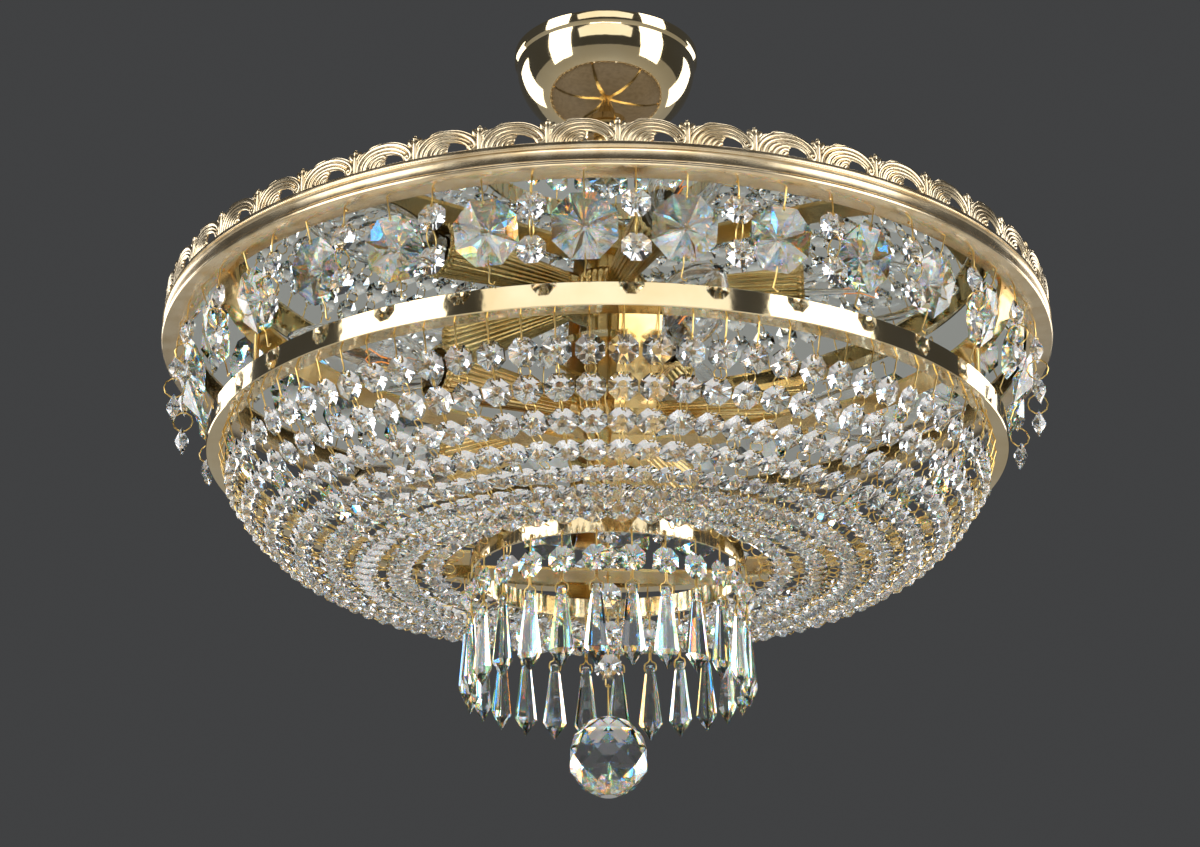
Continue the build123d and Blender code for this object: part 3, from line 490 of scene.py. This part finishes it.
BEADS, BEAD_RADIUS, BEAD_RING, BEAD_LEVEL = 1200, 0.5, 239.5, -183.0
bead_corners = BEAD_RADIUS * np.array([(1, 0, 0), (0, 1, 0), (0, 0, 1), (0, -1, 0), (0, 0, -1), (-1, 0, 0)])
bead_faces = [[0, 1, 2], [0, 2, 3], [0, 3, 4], [0, 4, 1], [5, 2, 1], [5, 3, 2], [5, 4, 3], [5, 1, 4]]
bead_places = [around(360 * k / BEADS, BEAD_RING, BEAD_LEVEL) for k in range(BEADS)]
beading = copied((bead_corners, bead_faces), bead_places)
gallery_shape = joined((strip, repeated(motif_faces, len(motif_points), MOTIFS)), foot, beading)
add_piece("acanthus_gallery", *gallery_shape, "frame", champagne_brass, "polished_brass", ["gallery"], 60)
print("gallery faces", len(gallery_shape[1]))

# %% [markdown]
# ## Lamp hub and sleeves
# The hub and the five sleeves are reeded: fine ridges run along them, so that they catch the light in stripes.


# %% Reeded brass
BORE_RADIUS = 5.5


def reeding(count, depth):
    """Ridges along the part: the radius rises and falls with the angle, except near the bore."""

    def flute(radius, height, angle):
        ridge = np.abs(np.cos(count * angle / 2))
        return radius + depth * (ridge - 1) * (radius > BORE_RADIUS)

    return flute


hub_top, hub_low = -207.0, -233.0
hub_outline = [(5.2, hub_top), (13, hub_top)]
hub_outline += [(13 + 12 * math.sin(a), hub_top - 1 - 7 * (1 - math.cos(a))) for a in np.linspace(0.2, 1.57, 8)]
hub_outline += [(25, -218), (24.6, -224), (23, -227), (19, -230), (14, -232), (13, hub_low), (5.2, hub_low)]
hub = lathe(hub_outline, 320, reeding(40, 1.0))
boss_places = [around(a, 0, LAMP_LEVEL) @ turn("Y", 90) for a in LAMP_AZIMUTHS]
bosses = copied(lathe([(0.1, 14), (7.5, 14), (7.5, 28), (0.1, 28)], 48), boss_places)
add_piece("reeded_hub", *joined(hub, bosses), "frame", satin_brass, "satin_brass", ["lamp_hub"], 30)

cone_start, cone_length, flare = 28.0, 76.0, 7.3
along = np.linspace(0, 1, 14)
sleeve_outline = [(7 + flare * t, cone_start + cone_length * t) for t in along]
sleeve_outline += [(15.0, 104.6), (15.5, 105.6), (15.0, 106.4), (15.2, 107.2), (15.5, 107.6), (15.0, 108.0)]
sleeve_outline += [(13.6, 108.0), (13.4, 104.0)]
sleeve_outline += [(6 + flare * t, cone_start + cone_length * t) for t in along[::-1][1:]]
sleeves = copied(lathe(sleeve_outline, 192, reeding(24, 0.7)), boss_places)
add_piece("reeded_sleeves", *sleeves, "frame", satin_brass, "satin_brass", ["lamp_sleeves"], 30)
print("hub and sleeves made")

# %% [markdown]
# ## Candle bulbs
# A clear candle bulb is a thin blown shell on a screw cap. Inside is a glass stem with two leads and a looped
# filament, which is off, and whose faint warm glow is painted light.

# %% Bulbs
GLASS_START, GLASS_LENGTH, GLASS_WALL, AXIS_GAP = 107.0, 86, 0.8, 0.05
NECK, BELLY, TIP = 8, 17.5, 1.6
WIDEST = 0.44  # share of the length from the neck to the belly


def candle(shrink):
    """Radius along a candle bulb: a quick swell from the neck, as a sine, then a long taper to the tip, as a cosine."""
    t = np.linspace(0, 1, 40)
    reach = NECK + (BELLY - NECK) * np.sin(np.clip(t / WIDEST, 0, 1) * np.pi / 2) ** 1.25
    taper = np.clip((t - WIDEST) / (1 - WIDEST), 0, 1)
    reach = np.where(t > WIDEST, TIP + (BELLY - TIP) * np.cos(taper * np.pi / 2) ** 0.85, reach)
    return np.stack([np.maximum(reach - shrink, AXIS_GAP), GLASS_START + (GLASS_LENGTH - shrink) * t], axis=1)


shell_outline = np.concatenate([candle(0), [[AXIS_GAP, GLASS_START + GLASS_LENGTH]], candle(GLASS_WALL)[::-1]])
shells = copied(lathe(shell_outline, 40), boss_places)
add_piece("candle_glasses", *shells, "frame", bulb_clear, "clear_glass", ["bulb_glasses"], 60)

THREAD_RADIUS, THREAD_DEPTH, THREAD_TURNS = 6.5, 0.45, 6
thread = np.linspace(0, 1, 61)
cap_side = [(THREAD_RADIUS + THREAD_DEPTH * math.cos(2 * math.pi * THREAD_TURNS * t), 83 + 22 * t) for t in thread]
cap_outline = [(0.1, 81), (3.0, 81), (5.5, 82.6)] + cap_side + [(8, 105), (8, 107), (0.1, 107)]
caps = copied(lathe(cap_outline, 48), boss_places)
add_piece("screw_caps", *caps, "frame", nickel, "nickel", ["bulb_caps"], 40)

stem = lathe([(0.1, 107.2), (2.6, 107.2), (2.0, 112), (1.6, 136), (1.0, 137), (0.1, 137)], 16)
add_piece("stem_glasses", *copied(stem, boss_places), "frame", bulb_clear, "clear_glass", (), 40)
hairpin = [(-1.1, 0, 130), (-1.4, 0, 140), (-4.2, 0, 147), (-2.2, 0, 149), (0, 1.2, 147.6), (2.2, 0, 149)]
hairpin += [(4.2, 0, 147), (1.4, 0, 140), (1.1, 0, 130)]
filaments = copied(wire_along(hairpin, 0.32), boss_places)
add_piece("hairpin_filaments", *filaments, "frame", filament_painted_glow, "filament", ["bulb_filaments"], 60)
print("bulbs made")

# %% [markdown]
# ## Cut crystals
# A cut octagon has a small flat table on each face, a sharp edge all round, and a belt of triangles between.
# Turning the table half a side against the edge is what makes the triangles. The few facets stay large, because
# each one shows its own picture of the lamps, and that is the sparkle.


# %% Crystal cuts
def belt(low, high, sides, ahead):
    """Triangles between two rows of points, where one row is turned on by half a side: the second row if ahead is
    true, and otherwise the first."""
    triangles = []
    for n in range(sides):
        m = (n + 1) % sides
        if ahead:
            triangles += [[low + n, low + m, high + n], [low + m, high + m, high + n]]
        else:
            triangles += [[low + n, low + m, high + m], [low + n, high + m, high + n]]
    return triangles


def stacked_cut(rings, sides=8):
    """Facets between polygons: each ring is (radius across, depth across, level, 1 if turned by half a side)."""
    points, faces = [], []
    for across, deep, level, shift in rings:
        a = (np.arange(sides) + 0.5 * shift) * 2 * np.pi / sides
        points.append(np.stack([across * np.cos(a), deep * np.sin(a), np.full(sides, level)], axis=1))
    for k in range(len(rings) - 1):
        low, high = k * sides, (k + 1) * sides
        if rings[k][3] == rings[k + 1][3]:
            faces += [[low + n, low + (n + 1) % sides, high + (n + 1) % sides, high + n] for n in range(sides)]
        else:
            faces += belt(low, high, sides, rings[k][3] == 0)
    faces += [list(range(sides - 1, -1, -1)), list(range((len(rings) - 1) * sides, len(rings) * sides))]
    points = np.concatenate(points)
    return points, outwards(points, faces)


def cut_octagon(width, thick, table):
    """An octagon bead standing in the plane of Y and Z, its flat faces along X."""
    corner = width / 2 / math.cos(math.pi / 8)
    points, faces = stacked_cut([(table, table, -thick / 2, 0), (corner, corner, 0, 1), (table, table, thick / 2, 0)])
    return points[:, [2, 0, 1]], faces


small_octagon = cut_octagon(OCTAGON, OCTAGON_THICK, 1.3)


def rayed_octagon(width, thick, table):
    """The skirt's large octagons. Sixteen points lie on the edge, at the corners and halfway between them. On the
    face sixteen long facets run from them to a small table; on the back a staggered ring breaks them into kites."""
    k = np.arange(16)
    edge = width / 2 / np.cos(np.pi / 8 * (k % 2))
    kite = 0.27  # how far out, and how deep, the staggered ring lies
    points = []
    for reach, level, step in (
        (edge, 0.0, 0), (table, thick / 2, 0), (kite * width, -kite * thick, 0.5), (table, -thick / 2, 0)
    ):
        a = (k + step) * np.pi / 8
        points.append(np.stack([0 * k + level, reach * np.cos(a), reach * np.sin(a)], axis=1))
    points = np.concatenate(points)
    faces = [[int(n), int((n + 1) % 16), int((n + 1) % 16 + 16), int(n + 16)] for n in k]
    for n in range(16):
        m = (n + 1) % 16
        faces += [[m, n, 32 + n], [m, 32 + n, 32 + m], [32 + m, 32 + n, 48 + m], [32 + n, 48 + n, 48 + m]]
    faces += [list(range(16, 32)), list(range(63, 47, -1))]
    return points, outwards(points, faces)


# %% [markdown]
# ## Skirt
# Thirty large octagons hang from the top ring, tied to the middle ring. Pairs of small ones hang between them.

# %% Skirt
HOOK_RADIUS = 231.5
slope = np.array([HOOK_RADIUS - MID_RADIUS, RING_LOW - MID_TOP])
slope_length = float(np.linalg.norm(slope))
lean = math.degrees(math.atan2(slope[0], slope[1]))


def on_slope(distance):
    """Radius and height at a distance down the line from the flange to the middle ring."""
    share = distance / slope_length
    return HOOK_RADIUS - slope[0] * share, RING_LOW - slope[1] * share


LARGE, LARGE_THICK, LARGE_START, LARGE_COUNT, FIRST_LARGE = 31.0, 11.0, 9.2, 30, -2.6
PAIR_DROP, PAIR_PITCH = 8.5, 22.5
large_azimuths = [FIRST_LARGE + 360 / LARGE_COUNT * k for k in range(LARGE_COUNT)]
pair_azimuths = [a + 180 / LARGE_COUNT for a in large_azimuths]
large_places = [around(a, *on_slope(LARGE_START + LARGE / 2)) @ turn("Y", lean) for a in large_azimuths]
stars = copied(rayed_octagon(LARGE, LARGE_THICK, 0.8), large_places)
add_piece("skirt_stars", *stars, "frame", crystal, "crystal", ["skirt_octagons"])
upper_pair = RING_LOW - PAIR_DROP - OCTAGON / 2
pair_places = [around(a, HOOK_RADIUS, h) for a in pair_azimuths for h in (upper_pair, upper_pair - PAIR_PITCH)]
add_piece("skirt_beads", *copied(small_octagon, pair_places), "frame", bead_crystal, "crystal", ["skirt_pairs"])


CURL, EYE = 2.2, 1.1
SKIRT_WIRE = 0.4


def hook_wire(length):
    """A wire hanging from a hole: three quarters of a circle over the flange, a straight run that leans a little,
    and an eye of four fifths of a circle, in X and Z."""
    a = np.linspace(0, 1.5 * math.pi, 8)
    over = np.stack([CURL * (np.cos(a) - 1) * 0.6, 0 * a, CURL * np.sin(a) * 0.6 + 0.6], axis=1)
    run = np.array([[0, 0, -0.4 * length], [0.2, 0.15, -0.7 * length], [0, 0, -length]])
    b = np.linspace(0, 1.6 * math.pi, 7)
    eye = np.stack([EYE * np.sin(b), 0 * b, -length - EYE + EYE * np.cos(b)], axis=1)
    return wire_along(np.concatenate([over[::-1], run, eye]), SKIRT_WIRE, 5)


skirt_hooks = copied(hook_wire(LARGE_START), [around(a, *on_slope(0)) @ turn("Y", lean) for a in large_azimuths])
tie_length = slope_length - LARGE_START - LARGE
tie_start = on_slope(LARGE_START + LARGE - 1.5)
tie_path = [(0, 0, 1.2), (0.9, 0, -0.2), (0.2, 0.3, -3), (0.4, -0.6, -tie_length + 1.2), (1.3, 0.4, -tie_length)]
tie_path += [(1.6, 1.6, -tie_length - 0.4), (0.6, 2.2, -tie_length + 0.8)]
tie_places = [around(a, *tie_start) @ turn("Y", lean) for a in large_azimuths]
skirt_ties = copied(wire_along(tie_path, SKIRT_WIRE, 5), tie_places)
pair_hooks = copied(hook_wire(PAIR_DROP), [around(a, HOOK_RADIUS, RING_LOW) for a in pair_azimuths])
pair_gap = PAIR_PITCH - OCTAGON
pair_rings = copied(
    wire_ring(pair_gap / 2 + 1.2, SKIRT_WIRE),
    [around(a, HOOK_RADIUS, upper_pair - OCTAGON / 2 - pair_gap / 2) for a in pair_azimuths],
)
skirt_wires = joined(skirt_hooks, skirt_ties, pair_hooks, pair_rings)
add_piece("skirt_wires_bent", *skirt_wires, "frame", wire_brass, "wire_brass", ["skirt_wires"], 60)
print("skirt made")

# %% [markdown]
# ## Basket
# Eighty strings run from the middle ring to the small ring along one bow. Where they crowd, the beads turn
# about their string and overlap like scales, and before the last row the strings join in twos.

# %% Strings
STRINGS, FIRST_STRING = 80, 2.25
PITCH, FIRST_BEAD = 17.6, 17.7
CROWDED, FREE_SWAY, TIGHT_SWAY = 14.8, 2.0, 0.4  # under that spacing the beads have less room to sway, in degrees
STRING_WIRE, HOLE_INSET = 0.35, 0.6
string_line = np.array([(206.5, MID_LOW), (180.5, -327.0), (SMALL_RADIUS + 4.1, -309.3)])
share = np.linspace(0, 1, 401)[:, None]
bow = (1 - share) ** 2 * string_line[0] + 2 * (1 - share) * share * string_line[1] + share**2 * string_line[2]
marks = np.concatenate([[0], np.cumsum(np.linalg.norm(np.diff(bow, axis=0), axis=1))])
slopes = np.gradient(bow, axis=0)


def along_string(distance):
    """Radius, height and lean at a distance down a string."""
    r, z = (float(np.interp(distance, marks, bow[:, k])) for k in (0, 1))
    dr, dz = (float(np.interp(distance, marks, slopes[:, k])) for k in (0, 1))
    return r, z, math.degrees(math.atan2(-dr, -dz))


FLAT, DEEP = 1 / OCTAGON, (1 - 2.0 / OCTAGON) / OCTAGON_THICK
TIGHTEST, GAP = 1 / math.hypot(FLAT, DEEP), 0.7


def quarter_turn(spacing):
    """How far beads that far apart turn on their strings so that they pass one another."""
    needed = 1 / (spacing - GAP)
    if needed <= FLAT:
        return 0.0
    return math.degrees(math.atan2(DEEP, FLAT) - math.acos(needed / math.hypot(FLAT, DEEP)))


def spot(azimuth, distance):
    """A point on a string, from its azimuth and the distance down it."""
    r, z, _ = along_string(distance)
    a = math.radians(azimuth)
    return r * math.sin(a), -r * math.cos(a), z


string_azimuths = [FIRST_STRING + 360 / STRINGS * k for k in range(STRINGS)]
azimuths = string_azimuths
rows = int((marks[-1] - FIRST_BEAD - OCTAGON / 2) / PITCH) + 1
chance = np.random.default_rng(11)
row_places, ring_places, ties = [], [], []
for row in range(rows):
    middle = FIRST_BEAD + row * PITCH
    r, z, tilt = along_string(middle)
    if 2 * math.pi * r / len(azimuths) - GAP < TIGHTEST:
        join = 180 / len(azimuths)
        top, foot_end = middle - PITCH + OCTAGON / 2 - HOLE_INSET, middle - OCTAGON / 2 + HOLE_INSET
        for side in (0, 1):
            shift = join if side == 0 else -join
            ties += [
                wire_along([spot(a, top), spot(a + 0.9 * shift, foot_end)], STRING_WIRE, 5) for a in azimuths[side::2]
            ]
        ring_places = ring_places[: -len(azimuths)]
        azimuths = [a + join for a in azimuths[0::2]]
    spacing = 2 * math.pi * r / len(azimuths)
    sway = chance.normal(0, FREE_SWAY if spacing > CROWDED else TIGHT_SWAY, len(azimuths))
    row_places.append(
        [around(a, r, z) @ turn("Y", tilt) @ turn("Z", quarter_turn(spacing) + s) for a, s in zip(azimuths, sway)]
    )
    r, z, tilt = along_string(middle + PITCH / 2)
    ring_places += [around(a, r, z) @ turn("Y", tilt) @ turn("Z", 20 + 40 * (k % 2)) for k, a in enumerate(azimuths)]
upper = [place for places in row_places[: rows // 2] for place in places]
lower = [place for places in row_places[rows // 2 :] for place in places]
chain_levels = (-287.0, -304.0, -323.5)
lower += [around(0, 0, level) for level in chain_levels]
for half_name, places in (("upper", upper), ("lower", lower)):
    beads = copied(small_octagon, places)
    node = "basket_octagons_" + half_name
    add_piece("basket_beads_" + half_name, *beads, "frame", bead_crystal, "crystal", [node])

bead_gap = PITCH - OCTAGON
string_rings = copied(wire_ring(bead_gap / 2 + 1.4, STRING_WIRE, 8), ring_places)
top_r, top_z, top_tilt = along_string(0)
lead = hook_wire(FIRST_BEAD - OCTAGON / 2 - 1.0)
hook_places = [around(a, top_r, top_z) @ turn("Y", top_tilt) for a in string_azimuths]
string_hooks = copied(lead, hook_places)
chain_path = [[(0, 0, -271), (0, 0, -279.5)], [(0, 0, -294.2), (0, 0, -296.8)], [(0, 0, -311.2), (0, 0, -316.3)]]
chain_wires = joined(*[wire_along(path, 0.5) for path in chain_path])


def bent_hook(top):
    """A wire that steps aside and turns under, to carry a loop 3.5 mm below."""
    path = [(-1.3, 0, 0.6), (-1.3, 0, -2.4), (-1.0, 0, -3.4), (0, 0, -3.6), (1.3, 0, -3.3)]
    return wire_along([(x, y, top + z) for x, y, z in path], 0.45)


basket_wires = joined(string_rings, string_hooks, *ties, chain_wires, bent_hook(-330.5))
add_piece("basket_wires", *basket_wires, "frame", wire_brass, "wire_brass", ["basket_links"], 60)
print("basket rows", rows, "beads", len(upper) + len(lower))

# %% [markdown]
# ## Fringe
# Each strand is a hook, an octagon, a bow of wire and a long drop. It swings on its own.


# %% Strands
DROP_WIDTH, DROP_THICK, DROP_LENGTH, DROP_POINT, DROP_NECK = 12.3, 8.0, 38.0, 9.0, 4.0


def spear(top):
    """A long drop: a square neck, eight long facets that widen to the shoulder, and a foot of small triangles."""
    level = top - DROP_NECK
    wide = level - DROP_LENGTH + DROP_POINT
    thin = DROP_THICK / DROP_WIDTH
    reach = DROP_WIDTH / 2 / math.cos(math.pi / 8)
    rings = [
        (1.1, 1.1, top, 1), (2.6, 2.1, top - 0.8, 1), (2.6, 2.1, level, 1), (3.0, 3.0 * thin, level - 0.8, 1),
        (reach, reach * thin, wide, 1), (reach * 0.55, reach * 0.55 * thin, wide - DROP_POINT * 0.48, 0),
        (0.3, 0.25, level - DROP_LENGTH, 1),
    ]
    points, faces = stacked_cut(rings)
    points = points[:, [1, 0, 2]]
    return points, outwards(points, faces)


STRANDS, FIRST_STRAND = 26, 2.55
STRAND_WIRE = 0.42
wall_middle, leg_out, hole_level, octagon_top = SMALL_RADIUS - 0.75, 1.85, SMALL_LOW + 1.6, -320.0
neck_top = octagon_top - OCTAGON - 7.0
drop = spear(neck_top)
strand_bead = (small_octagon[0] + [0, 0, octagon_top - OCTAGON / 2], small_octagon[1])
hook_path = [(-3.7, 0, hole_level - 1.4), (-3.6, 0, hole_level - 0.3), (-leg_out, 0, hole_level)]
hook_path += [(-0.5, 0, hole_level - 0.1), (0, 0, hole_level - 1.2), (0, 0, octagon_top - 0.8)]
bow_side = [(0, 2.9, neck_top - 3.0), (0, 3.3, neck_top - 1.8), (0, 3.3, neck_top + 0.2), (0, 2.7, neck_top + 1.3)]
bow_side += [(0, 1.2, neck_top + 2.0), (0, 0.5, neck_top + 3.4), (0, 0.4, octagon_top - OCTAGON + 0.8)]
bow_path = bow_side + [(0, -y, z) for _, y, z in bow_side[::-1]]
strand_wire = joined(wire_along(hook_path, STRAND_WIRE), wire_along(bow_path, STRAND_WIRE))
for k in range(STRANDS):
    place = [around(FIRST_STRAND - 180 / STRANDS + k * 360 / STRANDS, wall_middle + leg_out, 0)]
    body, node = f"strand_{k + 1:02d}", f"fringe_strand_{k + 1:02d}"
    add_piece(node + "_crystal", *copied(joined(strand_bead, drop), place), body, crystal, "crystal", [node])
    add_piece(node + "_wire", *copied(strand_wire, place), body, wire_brass, "wire_brass", (), 60)
print("strands made")

# %% [markdown]
# ## Chain and ball
# The ball is cut in staggered rows, so its facets are triangles.


# %% Chain and ball
def cut_ball(centre, radius, sides=8):
    """Points on a sphere in staggered rows, joined by flat triangles. tilt is each row's angle from the top."""
    tilt = np.array([0.18, 0.52, 0.98, 1.46, 1.94, 2.38, 2.68, 2.94])
    rows = len(tilt)
    a = (np.arange(sides)[None, :] + 0.5 * (np.arange(rows) % 2)[:, None]) * 2 * np.pi / sides
    points = np.stack(
        [radius * np.sin(tilt)[:, None] * np.cos(a), radius * np.sin(tilt)[:, None] * np.sin(a),
         np.broadcast_to(centre + radius * np.cos(tilt)[:, None], a.shape)], axis=-1,
    ).reshape(-1, 3)
    faces = []
    for k in range(rows - 1):
        faces += belt(k * sides, (k + 1) * sides, sides, k % 2 == 0)
    faces += [list(range(sides)), list(range((rows - 1) * sides, rows * sides))[::-1]]
    return points, outwards(points, faces)


swing_levels = (-344.4, -362.4)
beads = copied(small_octagon, [around(0, 0, level) for level in swing_levels])
add_piece("chain_beads", *beads, "chain", bead_crystal, "crystal", ["swing_chain"])


def oval_loop(top, base, half_width):
    """A loop of wire in the plane of Y and Z whose ends meet, narrow at its top and wide at its foot."""
    a = np.linspace(0, 2 * np.pi, 25)
    height = (top - base) / 2
    width = half_width * (1 - 0.45 * np.sin(a))
    return wire_along(np.stack([0 * a, width * np.cos(a), base + height + height * np.sin(a)], axis=1), 0.45)


chain_loop = oval_loop(-332.8, -338.0, 2.3)
between = wire_along([(0, 0, -350.8), (0, 0, -355.8)], 0.5)
chain_wire = joined(chain_loop, between, bent_hook(-369.4))
add_piece("chain_wire", *chain_wire, "chain", wire_brass, "wire_brass", (), 60)
BALL_LEVEL, BALL_RADIUS = -410.4, 21.2
ball_loop = oval_loop(-371.8, BALL_LEVEL + BALL_RADIUS - 0.6, 3.0)
add_piece("ball_loop", *ball_loop, "ball", wire_brass, "wire_brass", ["ball_hook"], 60)
add_piece("cut_ball", *cut_ball(BALL_LEVEL, BALL_RADIUS), "ball", crystal, "crystal", ["ball"])
print("chain and ball made")

# %% [markdown]
# ## Studio
# Metal and glass only look like themselves when they have something to reflect: two tall soft boxes at the
# sides, weaker ones in front, below and overhead, two more behind for the edges of the crystals, and a pale
# floor. The floor is far below the lamps, so it is shown paler to the camera, to metal and to glass, and keeps
# its shadow. The world behind is a plain dark grey, so that clear glass shows against it. Sizes here are in metres.


# %% Floor, lamps and camera
def soft_lamp(name, place, target, size, power):
    """A rectangular lamp that faces a point."""
    data = bpy.data.lights.new(name, "AREA")
    data.shape, data.size, data.size_y, data.energy = "RECTANGLE", size[0], size[1], power
    lamp = bpy.data.objects.new(name, data)
    bpy.context.scene.collection.objects.link(lamp)
    lamp.location = place
    towards = Vector(target) - lamp.location
    lamp.rotation_euler = towards.to_track_quat("-Z", "Y").to_euler()


soft_lamp("left_box", (-1.55, -0.95, 0.15), (0, 0, -0.25), (1.0, 1.7), 18)
soft_lamp("right_box", (1.55, -0.95, 0.15), (0, 0, -0.25), (1.0, 1.7), 18)
soft_lamp("front_box", (0, -2.3, 0.75), (0, 0, -0.2), (2.9, 0.8), 9)
soft_lamp("top_box", (0, 0.2, 1.5), (0, 0, -0.2), (1.4, 1.4), 14)
soft_lamp("low_box", (0, -1.5, -1.5), (0, 0, -0.25), (1.2, 0.5), 7)
soft_lamp("back_left_box", (-1.5, 1.1, -0.1), (0, 0, -0.3), (0.8, 1.4), 11)
soft_lamp("back_right_box", (1.5, 1.1, -0.1), (0, 0, -0.3), (0.8, 1.4), 11)

FLOOR_CODE, FLOOR_GLOW = "d9d7d2", 0.35
WORLD_CODE, WORLD_STRENGTH = "c9cbce", 0.09
floor_mesh = bpy.data.meshes.new("floor")
reach, level = 12.0, -1.7
corners = [(-reach, -reach, level), (reach, -reach, level), (reach, reach, level), (-reach, reach, level)]
floor_mesh.from_pydata(corners, [], [[0, 1, 2, 3]])
floor_mesh.materials.append(plain("painted_studio_floor", FLOOR_CODE, 0.8))
floor_tree = floor_mesh.materials[0].node_tree
path = add_node(floor_tree, "ShaderNodeLightPath")
seen = path.outputs["Is Camera Ray"]
for kind in ("Is Glossy Ray", "Is Transmission Ray"):
    both = add_node(floor_tree, "ShaderNodeMath", {"operation": "MAXIMUM"})
    floor_tree.links.new(seen, both.inputs[0])
    floor_tree.links.new(path.outputs[kind], both.inputs[1])
    seen = both.outputs[0]
level_up = add_node(floor_tree, "ShaderNodeMath", {"operation": "MULTIPLY"})
floor_tree.links.new(seen, level_up.inputs[0])
level_up.inputs[1].default_value = FLOOR_GLOW
floor_shader = floor_tree.nodes["Principled BSDF"]
floor_shader.inputs["Emission Color"].default_value = colour(FLOOR_CODE)
floor_tree.links.new(level_up.outputs[0], floor_shader.inputs["Emission Strength"])
floor = bpy.data.objects.new("floor", floor_mesh)
bpy.context.scene.collection.objects.link(floor)

world = bpy.data.worlds.new("studio")
bpy.context.scene.world = world
world.use_nodes = True
world.node_tree.nodes["Background"].inputs["Color"].default_value = colour(WORLD_CODE)
world.node_tree.nodes["Background"].inputs["Strength"].default_value = WORLD_STRENGTH

camera_data = bpy.data.cameras.new("camera")
camera_data.sensor_width = 36.0
camera_data.lens = 78.96
camera = bpy.data.objects.new("camera", camera_data)
bpy.context.scene.collection.objects.link(camera)
camera.matrix_world = (
    Matrix.Translation((0, -1.32, -0.75316))
    @ Matrix.Rotation(0.00296, 4, "Z")
    @ Matrix.Rotation(math.radians(90) + 0.3801, 4, "X")
    @ Matrix.Rotation(-0.00267, 4, "Z")
)
bpy.context.scene.camera = camera
bpy.context.scene.view_settings.view_transform = "Standard"
